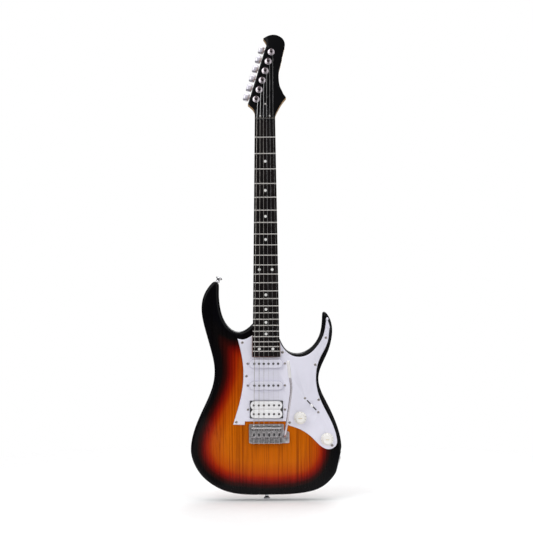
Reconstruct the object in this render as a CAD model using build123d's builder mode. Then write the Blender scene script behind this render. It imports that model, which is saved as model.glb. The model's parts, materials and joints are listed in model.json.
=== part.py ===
from build123d import *
import math
import os

# Electric guitar, millimetres. X right as seen from the front, Y to the back, Z up the neck.
# The origin is the end strap button's seat on the tail, at mid thickness of the body.

# ---------------------------------------------------------------- driving dimensions
SCALE = 648.0
FRETS = 24
NUT_Z = 789.5
BOARD_END = 292.5
BODY_T = 42.0
EDGE_R = 2.0
FRONT_Y = -BODY_T / 2

NUT_W = 43.0
HEEL_W = 57.0
BOARD_UNDER = 4.0
BOARD_TOP = 10.0
CROWN_R = 400.0
CROWN_Y = FRONT_Y - BOARD_TOP + CROWN_R
FRET_W = 2.4
FRET_H = 1.1
TANG_W = 0.6
TANG_D = 1.8
NUT_T = 4.5
NUT_TOP = 12.2

POCKET_D = 16.0
HEEL_END = 352.0
SHAFT_D_LOW = 12.0
SHAFT_D_NUT = 10.0
HEAD_TILT = 13.0
HEAD_T = 14.5
HEAD_Z = 794.5

GUARD_T = 2.3
GUARD_BEVEL = 1.4
POLE_R = 2.2
POLE_TOP = 8.2
SINGLE_L = 70.0
SINGLE_W = 18.0
SINGLE_TOP = 7.8
SINGLE_Z = (277.0, 231.1)
SINGLE_PITCH = 10.0
HUM_Z = 180.3
HUM_ROW = 9.2
HUM_PITCH = 10.6
PICKUP_EAR = 39.0

STRING_R = (0.58, 0.46, 0.33, 0.22, 0.17, 0.13)
BRIDGE_PITCH = 10.63
NUT_PITCH = 6.8
SADDLE_Z = 141.5
CREST_H = 14.6

PIVOT_Z = 146.5
PLATE_LOW = 2.5
PLATE_TOP = 4.5
PLATE_Z0 = 109.7
PLATE_Z1 = 149.9
BLOCK_Z0 = 118.5
BLOCK_Z1 = 130.5
BLOCK_D = 40.0

TUNER_PITCH = 22.0
TUNER_LEAN = 17.0
TUNER_U = -18.3
TUNER_V = 40.8
POST_R = 3.0
GEAR_W = -20.5
WORM_OFFSET = 5.2
BUTTON_X = 23.4
WRAP_W = 9.3

KNOBS = ((71.0, 162.5), (127.6, 117.5))
SWITCH_A = (81.3, 203.8)
SWITCH_B = (109.2, 174.1)
SWITCH_PIVOT_H = -22.0

GUARD_SCREWS = (
    (-50, 321.5),
    (34.5, 300.7),
    (125.9, 331.1),
    (103.2, 274.3),
    (-41.6, 250.9),
    (110.2, 200.4),
    (-63.5, 154),
    (48.8, 152.8),
    (138, 104),
)
RUNNING = 0.05


# ---------------------------------------------------------------- planes and shared shapes
def front(h):
    """Plane parallel to the body's face, h in front of it, with local x = X and local y = Z."""
    return Plane.XZ.offset(BODY_T / 2 + h)


def back(d):
    """Plane facing the back, d behind the body's back face, with local x = -X and local y = Z."""
    return Plane(origin=(0, BODY_T / 2 + d, 0), x_dir=(-1, 0, 0), z_dir=(0, 1, 0))


def half_width(z):
    """Half the neck's width at height z."""
    slope = (HEEL_W - NUT_W) / 2 / (NUT_Z - BOARD_END)
    return NUT_W / 2 + slope * (NUT_Z - z)


def fret_z(n):
    return NUT_Z - SCALE * (1 - 2 ** (-n / 12))


def neck_taper(z0, z1, extra=0.0):
    """The four corners of the neck's plan between two heights."""
    w0 = half_width(z0) + extra
    w1 = half_width(z1) + extra
    return [(-w0, z0), (w0, z0), (w1, z1), (-w1, z1)]


tilt = math.radians(HEAD_TILT)
HEAD = Plane(
    origin=(0, FRONT_Y - BOARD_UNDER, HEAD_Z),
    x_dir=(1, 0, 0),
    z_dir=(0, -math.cos(tilt), math.sin(tilt)),
)
lean = math.radians(TUNER_LEAN)
TUNERS = [
    (TUNER_U + i * TUNER_PITCH * math.sin(lean), TUNER_V + i * TUNER_PITCH * math.cos(lean))
    for i in range(6)
]


def tuner_plane(i, w=0.0):
    """Plane at tuner i, w in front of the head's face; local x runs to the button."""
    u, v = TUNERS[i]
    return Plane(HEAD.location * Location((u, v, w), (0, 0, 180 - TUNER_LEAN)))


def turned(points):
    """A solid of revolution about Z from an (r, z) outline."""
    with BuildPart() as shape:
        with BuildSketch(Plane.XZ):
            with BuildLine():
                Polyline(*points, close=True)
            make_face()
        revolve(axis=Axis.Z)
    return shape.part


def screw(head_r, head_h, shank_r, length, dome=0.8):
    """Cross-recessed countersunk screw: rim at z = 0, point at z = -length."""
    with BuildPart() as shape:
        with BuildSketch(Plane.XZ):
            with BuildLine():
                Line((0, dome), (0, -length))
                Line((0, -length), (shank_r, -length + 2 * shank_r))
                Line((shank_r, -length + 2 * shank_r), (shank_r, -head_h))
                Line((shank_r, -head_h), (head_r, 0))
                ThreePointArc((head_r, 0), (head_r * 0.6, dome * 0.72), (0, dome))
            make_face()
        revolve(axis=Axis.Z)
        with Locations((0, 0, dome)):
            Box(head_r, head_r * 0.25, dome * 2.4, mode=Mode.SUBTRACT)
            Box(head_r * 0.25, head_r, dome * 2.4, mode=Mode.SUBTRACT)
    return shape.part


def socket_screw(radius, length):
    """Headless screw with a hexagon socket: top at z = 0."""
    with BuildPart() as shape:
        Cylinder(radius, length, align=(Align.CENTER, Align.CENTER, Align.MAX))
        with BuildSketch(Plane.XY):
            RegularPolygon(radius * 0.55, 6)
        extrude(amount=-1.5, mode=Mode.SUBTRACT)
    return shape.part


def coil(radius, wire, pitch, height):
    """Open coil spring standing on z = 0."""
    with BuildPart() as shape:
        with BuildLine():
            path = Helix(pitch=pitch, height=height, radius=radius)
        with BuildSketch(Plane(origin=path @ 0, z_dir=path % 0)):
            Circle(wire)
        sweep(is_frenet=True)
    return shape.part


def rod(start, end, radius):
    """A straight round rod between two points."""
    a = Vector(*start)
    b = Vector(*end)
    with BuildPart() as shape:
        with BuildSketch(Plane(origin=a, z_dir=b - a)):
            Circle(radius)
        extrude(amount=(b - a).length)
    return shape.part


def save(builder, name):
    builder.part.label = name
    export_step(builder.part, "parts/" + name + ".step")


os.makedirs("parts", exist_ok=True)

SMALL_SCREW = screw(2.9, 1.6, 1.4, 12)
POCKET = dict(mode=Mode.SUBTRACT)

# ---------------------------------------------------------------- body
BODY_OUTLINE = (
    (-24.5, 364.5),
    (-40, 349.9),
    (-58, 343.1),
    (-76, 350.7),
    (-88.5, 367),
    (-96.4, 390),
    (-99.8, 420),
    (-99.6, 438),
    (-101.3, 446.6),
    (-107.5, 450.2),
    (-114, 446.8),
    (-121, 438.6),
    (-129.3, 425),
    (-135.2, 404),
    (-135, 380),
    (-128.6, 350),
    (-116.2, 305),
    (-109.3, 268),
    (-113.4, 230),
    (-131.3, 185),
    (-150.3, 140),
    (-158.9, 95),
    (-151.9, 65),
    (-131, 35),
    (-90, 9.3),
    (-45, 0.6),
    (0, 0),
    (45, 0.8),
    (90, 6.3),
    (120, 19),
    (146.9, 50),
    (156.6, 95),
    (149.3, 140),
    (131.2, 185),
    (117, 215),
    (110, 245),
    (117.9, 275),
    (131.6, 305),
    (138.9, 335),
    (139.2, 354),
    (135.2, 370),
    (128.4, 380.2),
    (122.8, 382.6),
    (119.2, 377.5),
    (118.2, 360),
    (113.4, 336),
    (98.1, 312),
    (76, 298.7),
    (56, 298.2),
    (40, 307.5),
    (29.6, 326),
    (25.2, 334),
)
JACK_ANGLE = -12.0
JACK_SINK = 2.4
jack_out = Vector(math.cos(math.radians(JACK_ANGLE)), 0, math.sin(math.radians(JACK_ANGLE)))
JACK = Plane(
    origin=Vector(154.2, 0, 72) - jack_out * JACK_SINK,
    x_dir=(0, 1, 0),
    z_dir=jack_out,
)
CONTROL_CAVITY = (
    (55, 156),
    (70, 146),
    (88, 139),
    (104, 124),
    (117, 105.5),
    (131, 101.2),
    (141, 105.5),
    (144.5, 118),
    (140, 136),
    (120, 172),
    (104, 192),
    (101, 214),
    (86, 216),
    (70, 205),
    (55, 178),
)
TREM_ROUTE = ((-35, 111), (44, 111), (44, 132.4), (35, 132.4), (35, 137.5), (-35, 137.5))
HORN_AXIS = Plane(origin=(-102.4, 0, 449.2), x_dir=(0, 1, 0), z_dir=(0.42, 0, 0.907))
TAIL_AXIS = Plane(origin=(0, 0, 0), x_dir=(1, 0, 0), z_dir=(0, 0, -1))
NECK_SCREWS = [(x, z) for x in (-19, 19) for z in (304, 342)]
NECK_SCREW_R = 2.2
NECK_PLATE_Z = 323.0
SPRING_Z0 = 104.0
SPRING_Z1 = 240.0
SPRING_D = 17.0
COVER_SCREWS = [(x, z) for x in (-43, 43) for z in (100, 172, 244)]
CLAW_SCREW_X = 15.0
JACK_HOLE_R = 10.5

with BuildPart() as body:
    with BuildSketch(Plane.XZ):
        with BuildLine():
            Spline(*BODY_OUTLINE)
            Polyline(BODY_OUTLINE[-1], (24, 346), BODY_OUTLINE[0])
        make_face()
    extrude(amount=BODY_T / 2, both=True)
    fillet(body.faces().sort_by(Axis.Y)[0].edges(), EDGE_R)
    fillet(body.faces().sort_by(Axis.Y)[-1].edges(), EDGE_R)
    # belly cut behind the bass waist, and the shallow forearm slope on the front
    with Locations((-165, BODY_T / 2 + 465, 235)):
        Sphere(480, mode=Mode.SUBTRACT)
    with Locations((-185, FRONT_Y - 690, 75)):
        Sphere(698, mode=Mode.SUBTRACT)
    # neck pocket
    with BuildSketch(front(0)):
        with BuildLine():
            Polyline(*neck_taper(BOARD_END - 0.1, 380, 0.1), close=True)
        make_face()
    extrude(amount=-POCKET_D, **POCKET)
    # pickup, control and tremolo cavities, routed from the front
    with BuildSketch(front(0)):
        for z in SINGLE_Z:
            with Locations((0, z)):
                SlotOverall(96, 22)
        with Locations((0, HUM_Z)):
            RectangleRounded(92, 42, 6)
        with Locations((24, 254), (24, 211)):
            Rectangle(9, 28)
        with Locations((52, 172)):
            Rectangle(16, 9)
    extrude(amount=-18, **POCKET)
    with BuildSketch(front(0)):
        Polygon(*CONTROL_CAVITY, align=None)
    extrude(amount=-36, **POCKET)
    with BuildSketch(front(0)):
        with BuildLine():
            Polyline(*TREM_ROUTE, close=True)
        make_face()
    extrude(amount=-BODY_T, **POCKET)
    # spring cavity and cover recess, routed from the back
    with BuildSketch(back(0)):
        with Locations((0, (SPRING_Z0 + SPRING_Z1) / 2)):
            RectangleRounded(60, SPRING_Z1 - SPRING_Z0, 5)
        with Locations((-3.5, 121)):
            RectangleRounded(83, 34, 5)
    extrude(amount=-SPRING_D, **POCKET)
    # jack hole, its flat seat and the wire channel
    with BuildSketch(JACK):
        Rectangle(70, 70)
    extrude(amount=12, **POCKET)
    with BuildSketch(JACK):
        Circle(JACK_HOLE_R)
    extrude(amount=-40, **POCKET)
    with Locations((124, 0, 95)):
        Cylinder(4, 34, **POCKET)
    # screw holes
    for x, z in NECK_SCREWS:
        with Locations((x, 13, z)):
            Cylinder(NECK_SCREW_R + 0.2, 36, rotation=(90, 0, 0), **POCKET)
    for x, z in GUARD_SCREWS:
        with Locations((x, FRONT_Y, z)):
            Cylinder(1.4, 20, rotation=(90, 0, 0), **POCKET)
    for x, z in COVER_SCREWS:
        with Locations((x, BODY_T / 2, z)):
            Cylinder(1.4, 22, rotation=(90, 0, 0), **POCKET)
    for i in range(6):
        with Locations(((i - 2.5) * BRIDGE_PITCH, FRONT_Y, PIVOT_Z)):
            Cylinder(1.7, 40, rotation=(90, 0, 0), **POCKET)
    for x in (-CLAW_SCREW_X - 4, CLAW_SCREW_X + 4):
        with Locations((x, 12, SPRING_Z1)):
            Cylinder(1.9, 60, **POCKET)
    for seat in (HORN_AXIS, TAIL_AXIS):
        with BuildSketch(seat):
            Circle(1.9)
        extrude(amount=-24, both=True, **POCKET)
    with BuildSketch(JACK):
        with Locations((0, -16), (0, 16)):
            Circle(1.4)
    extrude(amount=-14, **POCKET)
save(body, "body")

# ---------------------------------------------------------------- neck
HEAD_BASS_CURVE = ((-21.5, 0), (-22, 12.9), (-25.5, 20.2), (-35.9, 30.2))
HEAD_HOOK = ((0.5, 151.3), (3.2, 158.8), (3.7, 165.3), (0.6, 171.8), (-2.9, 177))
HEAD_CROWN = (
    (-2.9, 177),
    (7.8, 183.1),
    (19.4, 185.4),
    (30.7, 182.2),
    (39.6, 174.8),
    (43.1, 163.5),
    (40, 145.5),
    (34.3, 118.5),
    (29.6, 96),
    (30.1, 79),
    (33.2, 66),
    (38.4, 54.5),
    (44.5, 45),
)
HEAD_TREBLE_CURVE = ((44.5, 45), (34.5, 31.5), (26.5, 17), (21.5, 0))
ROD_CHANNEL_W = 6.4
ROD_Z0 = 305.0
ROD_Z1 = 812.0
ROD_H = -3.5
ROD_R = 2.6

with BuildPart() as neck:
    # D-shaped shaft, flat towards the fingerboard
    for z, depth in ((BOARD_END, SHAFT_D_LOW), (HEAD_Z, SHAFT_D_NUT)):
        w = half_width(z)
        y0 = FRONT_Y - BOARD_UNDER
        y1 = FRONT_Y + depth
        shoulder = y0 + (y1 - y0) * 0.62
        with BuildSketch(Plane.XY.offset(z)):
            with BuildLine():
                Line((-w, y0), (w, y0))
                Spline(
                    (w, y0),
                    (w * 0.86, shoulder),
                    (0, y1),
                    (-w * 0.86, shoulder),
                    (-w, y0),
                    tangents=((0, 1), (0, -1)),
                )
            make_face()
    loft()
    # heel block, ramped into the shaft
    with BuildSketch(Plane.YZ):
        with BuildLine():
            Polyline(
                (FRONT_Y - BOARD_UNDER, 372),
                (FRONT_Y - BOARD_UNDER, BOARD_END),
                (FRONT_Y + POCKET_D, BOARD_END),
                (FRONT_Y + POCKET_D, HEEL_END),
            )
            Spline(
                (FRONT_Y + POCKET_D, HEEL_END),
                (FRONT_Y + 9, 366),
                (FRONT_Y - BOARD_UNDER, 372),
                tangents=((0, 1), (-1, 0.1)),
            )
        make_face()
    extrude(amount=HEEL_W / 2, both=True)
    # trim to the taper, up to the nut
    with BuildSketch(front(30)):
        with BuildLine():
            Polyline(*neck_taper(BOARD_END, HEAD_Z), close=True)
        make_face()
    extrude(amount=-80, mode=Mode.INTERSECT)
    # headstock
    with BuildSketch(HEAD):
        with BuildLine():
            Line((21.5, 0), (-21.5, 0))
            Spline(*HEAD_BASS_CURVE, tangents=((0, 1), (-0.72, 0.69)))
            Line(HEAD_BASS_CURVE[-1], HEAD_HOOK[0])
            Spline(*HEAD_HOOK, tangents=((0.29, 0.96), (-0.6, 0.8)))
            Spline(*HEAD_CROWN, tangents=((0.82, 0.57), (0.57, -0.82)))
            Spline(*HEAD_TREBLE_CURVE, tangents=((-0.62, -0.78), (0, -1)))
        make_face()
    extrude(amount=-HEAD_T)
    # truss rod channel and the key pocket at the head
    with BuildSketch(front(BOARD_UNDER)):
        with Locations((0, (ROD_Z0 + 800) / 2)):
            Rectangle(ROD_CHANNEL_W, 800 - ROD_Z0)
    extrude(amount=-10.6, **POCKET)
    with BuildSketch(HEAD.offset(2)):
        with Locations((0, 11)):
            SlotOverall(24, 9.6, rotation=90)
    extrude(amount=-12.5, **POCKET)
    # screw pilots in the heel, tuner holes and cover-screw pilots in the head
    for x, z in NECK_SCREWS:
        with Locations((x, FRONT_Y + 8, z)):
            Cylinder(NECK_SCREW_R, 18, rotation=(90, 0, 0), **POCKET)
    with BuildSketch(HEAD.offset(5)):
        with Locations(*TUNERS):
            Circle(4.9)
    extrude(amount=-30, **POCKET)
    with BuildSketch(HEAD):
        with Locations((-10, 3.2), (10, 3.2), (0.5, 30)):
            Circle(1.4)
    extrude(amount=-11, **POCKET)
save(neck, "neck")

# ---------------------------------------------------------------- fingerboard, frets and markers
DOT_FRETS = (3, 5, 7, 9, 15, 17, 19, 21)
DOTS = [(0, (fret_z(n) + fret_z(n - 1)) / 2) for n in DOT_FRETS]
DOTS += [(s * 13.5, (fret_z(12) + fret_z(11)) / 2) for s in (-1, 1)]
DOTS += [(s * 14.2, (fret_z(24) + fret_z(23)) / 2) for s in (-1, 1)]
DOT_R = 3.0
DOT_D = 1.6


def fret_arc(z, low_r, high_r, width):
    """Ring sector about the crown's axis: a fret's tang or slot."""
    sweep_deg = 10.0
    a = math.radians(-sweep_deg / 2)
    plane = Plane(
        origin=(0, CROWN_Y, 0),
        x_dir=(math.sin(a), -math.cos(a), 0),
        z_dir=(-math.cos(a), -math.sin(a), 0),
    )
    with BuildPart() as sector:
        with BuildSketch(plane):
            with Locations(((low_r + high_r) / 2, z)):
                Rectangle(high_r - low_r, width)
        revolve(axis=Axis((0, CROWN_Y, 0), (0, 0, 1)), revolution_arc=sweep_deg)
    return sector.part


def fret_crown(z):
    """The rounded head of a fret, bent to the crown's radius."""
    sweep_deg = 10.0
    a = math.radians(-sweep_deg / 2)
    plane = Plane(
        origin=(0, CROWN_Y, 0),
        x_dir=(math.sin(a), -math.cos(a), 0),
        z_dir=(-math.cos(a), -math.sin(a), 0),
    )
    with BuildPart() as crown:
        with BuildSketch(plane):
            with BuildLine():
                Line((CROWN_R, z + FRET_W / 2), (CROWN_R, z - FRET_W / 2))
                ThreePointArc(
                    (CROWN_R, z - FRET_W / 2),
                    (CROWN_R + FRET_H, z),
                    (CROWN_R, z + FRET_W / 2),
                )
            make_face()
        revolve(axis=Axis((0, CROWN_Y, 0), (0, 0, 1)), revolution_arc=sweep_deg)
    return crown.part


with BuildPart() as fretboard:
    with BuildSketch(front(BOARD_UNDER)):
        with BuildLine():
            Polyline(*neck_taper(BOARD_END, NUT_Z), close=True)
        make_face()
    extrude(amount=20)
    with Locations((0, CROWN_Y, (BOARD_END + NUT_Z) / 2)):
        Cylinder(CROWN_R, 520, mode=Mode.INTERSECT)
    for n in range(1, FRETS + 1):
        add(fret_arc(fret_z(n), CROWN_R - TANG_D, CROWN_R + 1, TANG_W), mode=Mode.SUBTRACT)
    with BuildSketch(front(BOARD_TOP - DOT_D)):
        with Locations(*DOTS):
            Circle(DOT_R)
    extrude(amount=10, **POCKET)
save(fretboard, "fretboard")

with BuildPart() as frets:
    for n in range(1, FRETS + 1):
        add(fret_arc(fret_z(n), CROWN_R - TANG_D, CROWN_R, TANG_W))
        add(fret_crown(fret_z(n)))
    with BuildSketch(front(0)):
        with BuildLine():
            Polyline(*neck_taper(BOARD_END, NUT_Z, -0.05), close=True)
        make_face()
    extrude(amount=20, mode=Mode.INTERSECT)
save(frets, "frets")

with BuildPart() as position_markers:
    with BuildSketch(front(BOARD_TOP - DOT_D)):
        with Locations(*DOTS):
            Circle(DOT_R)
    extrude(amount=10)
    with Locations((0, CROWN_Y, (BOARD_END + NUT_Z) / 2)):
        Cylinder(CROWN_R, 520, mode=Mode.INTERSECT)
save(position_markers, "position_markers")

# ---------------------------------------------------------------- strings and nut
STRING_X_BRIDGE = [(i - 2.5) * BRIDGE_PITCH for i in range(6)]
STRING_X_NUT = [(i - 2.5) * NUT_PITCH for i in range(6)]
NUT_BOTTOM_H = NUT_TOP - 1.0
NUT_FACE_Z = NUT_Z + 0.2
NUT_BACK_Z = NUT_Z + NUT_T


def face_y(h):
    return FRONT_Y - h


def saddle_point(i):
    """Centre of string i where it leaves the saddle."""
    return (STRING_X_BRIDGE[i], face_y(CREST_H + STRING_R[i]), SADDLE_Z)


def nut_point(i):
    """Centre of string i at the back edge of the nut."""
    return (STRING_X_NUT[i], face_y(NUT_BOTTOM_H + STRING_R[i]), NUT_BACK_Z)


def post_point(i):
    """Centre of string i where it meets its post, tangent to the post's treble side."""
    u, v = TUNERS[i]
    point = HEAD.from_local_coords((u + POST_R + STRING_R[i] + 0.1, v, WRAP_W))
    return tuple(point)


with BuildPart() as strings:
    for i in range(6):
        add(rod(saddle_point(i), nut_point(i), STRING_R[i]))
save(strings, "strings")

with BuildPart() as strings_at_head:
    for i in range(6):
        start = Vector(*nut_point(i)) + Vector(0, 0, 0.3)
        add(rod(tuple(start), post_point(i), STRING_R[i]))
save(strings_at_head, "strings_at_head")

with BuildPart() as nut:
    with BuildSketch(Plane.YZ):
        with BuildLine():
            Polyline(
                (face_y(BOARD_UNDER), NUT_Z),
                (face_y(NUT_TOP), NUT_Z),
                (face_y(NUT_TOP), NUT_Z + 2),
                (face_y(NUT_TOP - 1.8), NUT_BACK_Z - 0.2),
                (face_y(BOARD_UNDER), NUT_BACK_Z - 0.2),
                close=True,
            )
        make_face()
    extrude(amount=NUT_W / 2, both=True)
    for i in range(6):
        sx, sy, sz = saddle_point(i)
        nx, ny, nz = nut_point(i)
        add(rod((sx, sy, sz), (nx, ny, nz + 2), STRING_R[i] + 0.3), mode=Mode.SUBTRACT)
        with Locations((nx, ny - 2, NUT_Z + NUT_T / 2)):
            Box(2 * STRING_R[i] + 0.6, 4, 2 * NUT_T, mode=Mode.SUBTRACT)
save(nut, "nut")

# ---------------------------------------------------------------- truss rod and its cover
with BuildPart() as truss_rod:
    with Locations((0, face_y(ROD_H), (ROD_Z0 + ROD_Z1) / 2 - 1)):
        Cylinder(ROD_R, ROD_Z1 - ROD_Z0 - 6)
    with BuildSketch(Plane.XY.offset(ROD_Z1 - 12)):
        with Locations((0, face_y(ROD_H))):
            Circle(3.2)
            RegularPolygon(2.1, 6, mode=Mode.SUBTRACT)
    extrude(amount=9)
save(truss_rod, "truss_rod")

COVER_T = 1.6
with BuildPart() as truss_rod_cover:
    with BuildSketch(HEAD):
        with BuildLine():
            Polyline((-14, 0.5), (14, 0.5), (14, 7), (6, 22), (4.6, 30))
            ThreePointArc((4.6, 30), (0.5, 34.2), (-3.6, 30))
            Polyline((-3.6, 30), (-5, 22), (-14, 7), (-14, 0.5))
        make_face()
        with Locations((-10, 3.2), (10, 3.2), (0.5, 30)):
            Circle(1.5, mode=Mode.SUBTRACT)
    extrude(amount=COVER_T)
    chamfer(truss_rod_cover.faces().sort_by(Axis.Y)[0].outer_wire().edges(), 0.4)
save(truss_rod_cover, "truss_rod_cover")

# ---------------------------------------------------------------- pickguard
GUARD_TOP_EDGE = ((-60.3, 330.1), (-46, 328.4), (-34.5, 333.6), (-28.6, 337))
GUARD_LEFT_EDGE = (
    (-60.3, 330.1),
    (-53, 300.4),
    (-48.5, 263.9),
    (-51.2, 220.6),
    (-62.8, 173.4),
    (-70.5, 148.6),
)
GUARD_RIGHT_EDGE = (
    (45.4, 147.1),
    (67, 139.6),
    (94.2, 122.1),
    (115.8, 101.5),
    (131.8, 95.8),
    (146.8, 104.5),
    (147.6, 122.5),
    (133.3, 162),
    (115.2, 198.5),
    (105.1, 240),
    (113.1, 286.8),
    (131.6, 330.1),
    (133.9, 350),
    (130.5, 368),
)
GUARD_CUTAWAY = (
    (126.4, 369),
    (122.7, 343.5),
    (105.7, 311.1),
    (84.8, 294.1),
    (66, 291),
    (46.4, 299.1),
    (33, 314.7),
    (28.6, 325.5),
)
switch_mid = ((SWITCH_A[0] + SWITCH_B[0]) / 2, (SWITCH_A[1] + SWITCH_B[1]) / 2)
switch_turn = math.degrees(math.atan2(SWITCH_B[1] - SWITCH_A[1], SWITCH_B[0] - SWITCH_A[0]))
SWITCH_SLOT_L = 29.0


def switch_plane(h):
    """Plane at the selector switch, with local x along its slot."""
    return Plane(front(h).location * Location((switch_mid[0], switch_mid[1], 0), (0, 0, switch_turn)))


with BuildPart() as pickguard:
    with BuildSketch(front(0)):
        with BuildLine():
            Spline(*GUARD_TOP_EDGE, tangents=((0.9, -0.3), (0.86, 0.5)))
            Polyline(
                GUARD_TOP_EDGE[-1],
                (-half_width(BOARD_END) - 0.5, BOARD_END - 1.2),
                (half_width(BOARD_END) + 0.5, BOARD_END - 1.2),
                GUARD_CUTAWAY[-1],
            )
            Spline(*GUARD_CUTAWAY, tangents=((-0.1, -1), (-0.35, 0.94)))
            ThreePointArc(GUARD_RIGHT_EDGE[-1], (127.6, 373.6), GUARD_CUTAWAY[0])
            Spline(*GUARD_RIGHT_EDGE, tangents=((0.9, -0.3), (-0.3, 0.95)))
            Polyline(GUARD_RIGHT_EDGE[0], (40.8, 155.1), (-44.8, 155.1), (-45.9, 147.8), GUARD_LEFT_EDGE[-1])
            Spline(*GUARD_LEFT_EDGE, tangents=((0.25, -0.97), (-0.3, -0.95)))
        make_face()
    extrude(amount=GUARD_T)
    chamfer(pickguard.faces().sort_by(Axis.Y)[0].outer_wire().edges(), GUARD_BEVEL)
    with BuildSketch(front(0)):
        for z in SINGLE_Z:
            with Locations((0, z)):
                SlotOverall(SINGLE_L + 0.6, SINGLE_W + 0.6)
        with Locations((0, HUM_Z)):
            RectangleRounded(70, 37.5, 1)
        with Locations(*KNOBS):
            Circle(4.9)
        with Locations(*GUARD_SCREWS):
            Circle(1.6)
        with Locations(*[(s * PICKUP_EAR, z) for s in (-1, 1) for z in (*SINGLE_Z, HUM_Z)]):
            Circle(1.6)
        with Locations(SWITCH_A, SWITCH_B):
            Circle(1.6)
        with Locations(switch_mid):
            SlotOverall(SWITCH_SLOT_L, 2.6, rotation=switch_turn)
    extrude(amount=GUARD_T, **POCKET)
    for x, z in GUARD_SCREWS:
        with Locations((x, FRONT_Y - GUARD_T + 0.8, z)):
            Cone(3.05, 1.45, 1.65, rotation=(-90, 0, 0), **POCKET)
save(pickguard, "pickguard")

# ---------------------------------------------------------------- single-coil pickups
with BuildPart() as single_coil_covers:
    for z in SINGLE_Z:
        with BuildSketch(front(-6)):
            with Locations((0, z)):
                SlotOverall(SINGLE_L, SINGLE_W)
        extrude(amount=6 + SINGLE_TOP)
        with BuildSketch(front(-6)):
            with Locations((0, z)):
                SlotOverall(SINGLE_L - 2.6, SINGLE_W - 2.6)
        extrude(amount=6 + SINGLE_TOP - 1.3, **POCKET)
    fillet(single_coil_covers.faces().filter_by(Axis.Y).sort_by(Axis.Y)[0:2].edges(), 1.0)
    with BuildSketch(front(0)):
        with Locations(*[((i - 2.5) * SINGLE_PITCH, z) for i in range(6) for z in SINGLE_Z]):
            Circle(POLE_R + 0.25)
    extrude(amount=12, **POCKET)
save(single_coil_covers, "single_coil_covers")

with BuildPart() as single_coil_bobbins:
    for z in SINGLE_Z:
        with BuildSketch(front(-8.6)):
            with Locations((0, z)):
                SlotOverall(88, 18.5)
        extrude(amount=2.6)
        with BuildSketch(front(-6)):
            with Locations((0, z)):
                SlotOverall(57, 6.4)
        extrude(amount=10.4)
        with BuildSketch(front(4.4)):
            with Locations((0, z)):
                SlotOverall(65, 13.5)
        extrude(amount=1.6)
        with BuildSketch(front(-8.6)):
            with Locations(*[((i - 2.5) * SINGLE_PITCH, z) for i in range(6)]):
                Circle(POLE_R)
            with Locations((-PICKUP_EAR, z), (PICKUP_EAR, z)):
                Circle(1.6)
        extrude(amount=20, **POCKET)
save(single_coil_bobbins, "single_coil_bobbins")

# ---------------------------------------------------------------- humbucking pickup
HUM_ROWS = (HUM_Z - HUM_ROW, HUM_Z + HUM_ROW)
HUM_LOW = -4.0
HUM_TOP = 7.8
with BuildPart() as humbucker_bobbins:
    for z in HUM_ROWS:
        for low, thick in ((HUM_LOW, 1.4), (HUM_TOP - 2.0, 2.0)):
            with BuildSketch(front(low)):
                with Locations((0, z)):
                    SlotOverall(67, 17.4)
            extrude(amount=thick)
        with BuildSketch(front(HUM_LOW)):
            with Locations((0, z)):
                SlotOverall(60.5, 7)
        extrude(amount=HUM_TOP - HUM_LOW)
    fillet(humbucker_bobbins.faces().filter_by(Axis.Y).sort_by(Axis.Y)[0:2].edges(), 0.7)
    with BuildSketch(front(HUM_LOW)):
        with Locations(*[((i - 2.5) * HUM_PITCH, z) for i in range(6) for z in HUM_ROWS]):
            Circle(POLE_R)
    extrude(amount=20, **POCKET)
save(humbucker_bobbins, "humbucker_bobbins")

with BuildPart() as pickup_coils:
    for z in SINGLE_Z:
        with BuildSketch(front(-6)):
            with Locations((0, z)):
                SlotOverall(64, 13)
                SlotOverall(57, 6.4, mode=Mode.SUBTRACT)
        extrude(amount=10.4)
    for z in HUM_ROWS:
        with BuildSketch(front(HUM_LOW + 1.4)):
            with Locations((0, z)):
                SlotOverall(65, 15)
                SlotOverall(60.5, 7, mode=Mode.SUBTRACT)
        extrude(amount=HUM_TOP - HUM_LOW - 3.4)
save(pickup_coils, "pickup_coils")

with BuildPart() as pole_pieces:
    with BuildSketch(front(-8.6)):
        with Locations(*[((i - 2.5) * SINGLE_PITCH, z) for i in range(6) for z in SINGLE_Z]):
            Circle(POLE_R)
    extrude(amount=8.6 + POLE_TOP)
    with BuildSketch(front(-8)):
        with Locations(*[((i - 2.5) * HUM_PITCH, z) for i in range(6) for z in HUM_ROWS]):
            Circle(POLE_R)
    extrude(amount=8 + POLE_TOP)
    for i in range(6):
        with Locations(((i - 2.5) * HUM_PITCH, face_y(POLE_TOP), HUM_ROWS[0])):
            Box(6, 1.2, 0.7, mode=Mode.SUBTRACT)
save(pole_pieces, "pole_pieces")

with BuildPart() as humbucker_magnet:
    with Locations((0, face_y(-6), HUM_Z)):
        Box(60, 4, 12)
save(humbucker_magnet, "humbucker_magnet")

with BuildPart() as humbucker_baseplate:
    with BuildSketch(front(-8)):
        with Locations((0, HUM_Z)):
            RectangleRounded(69, 36.6, 2)
            for s in (-1, 1):
                with Locations((s * 38, 0)):
                    RectangleRounded(12, 13, 2)
            with Locations((-PICKUP_EAR, 0), (PICKUP_EAR, 0)):
                Circle(1.6, mode=Mode.SUBTRACT)
    extrude(amount=-1.2)
save(humbucker_baseplate, "humbucker_baseplate")

ADJUST = [(s * PICKUP_EAR, z) for s in (-1, 1) for z in (*SINGLE_Z, HUM_Z)]
MACHINE_SCREW = screw(2.6, 0.01, 1.5, 17.5, 1.3)
with BuildPart() as machine_screws:
    for x, z in (*ADJUST, SWITCH_A, SWITCH_B):
        with Locations(front(GUARD_T).location * Location((x, z, 0.02))):
            add(MACHINE_SCREW)
save(machine_screws, "machine_screws")

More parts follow.
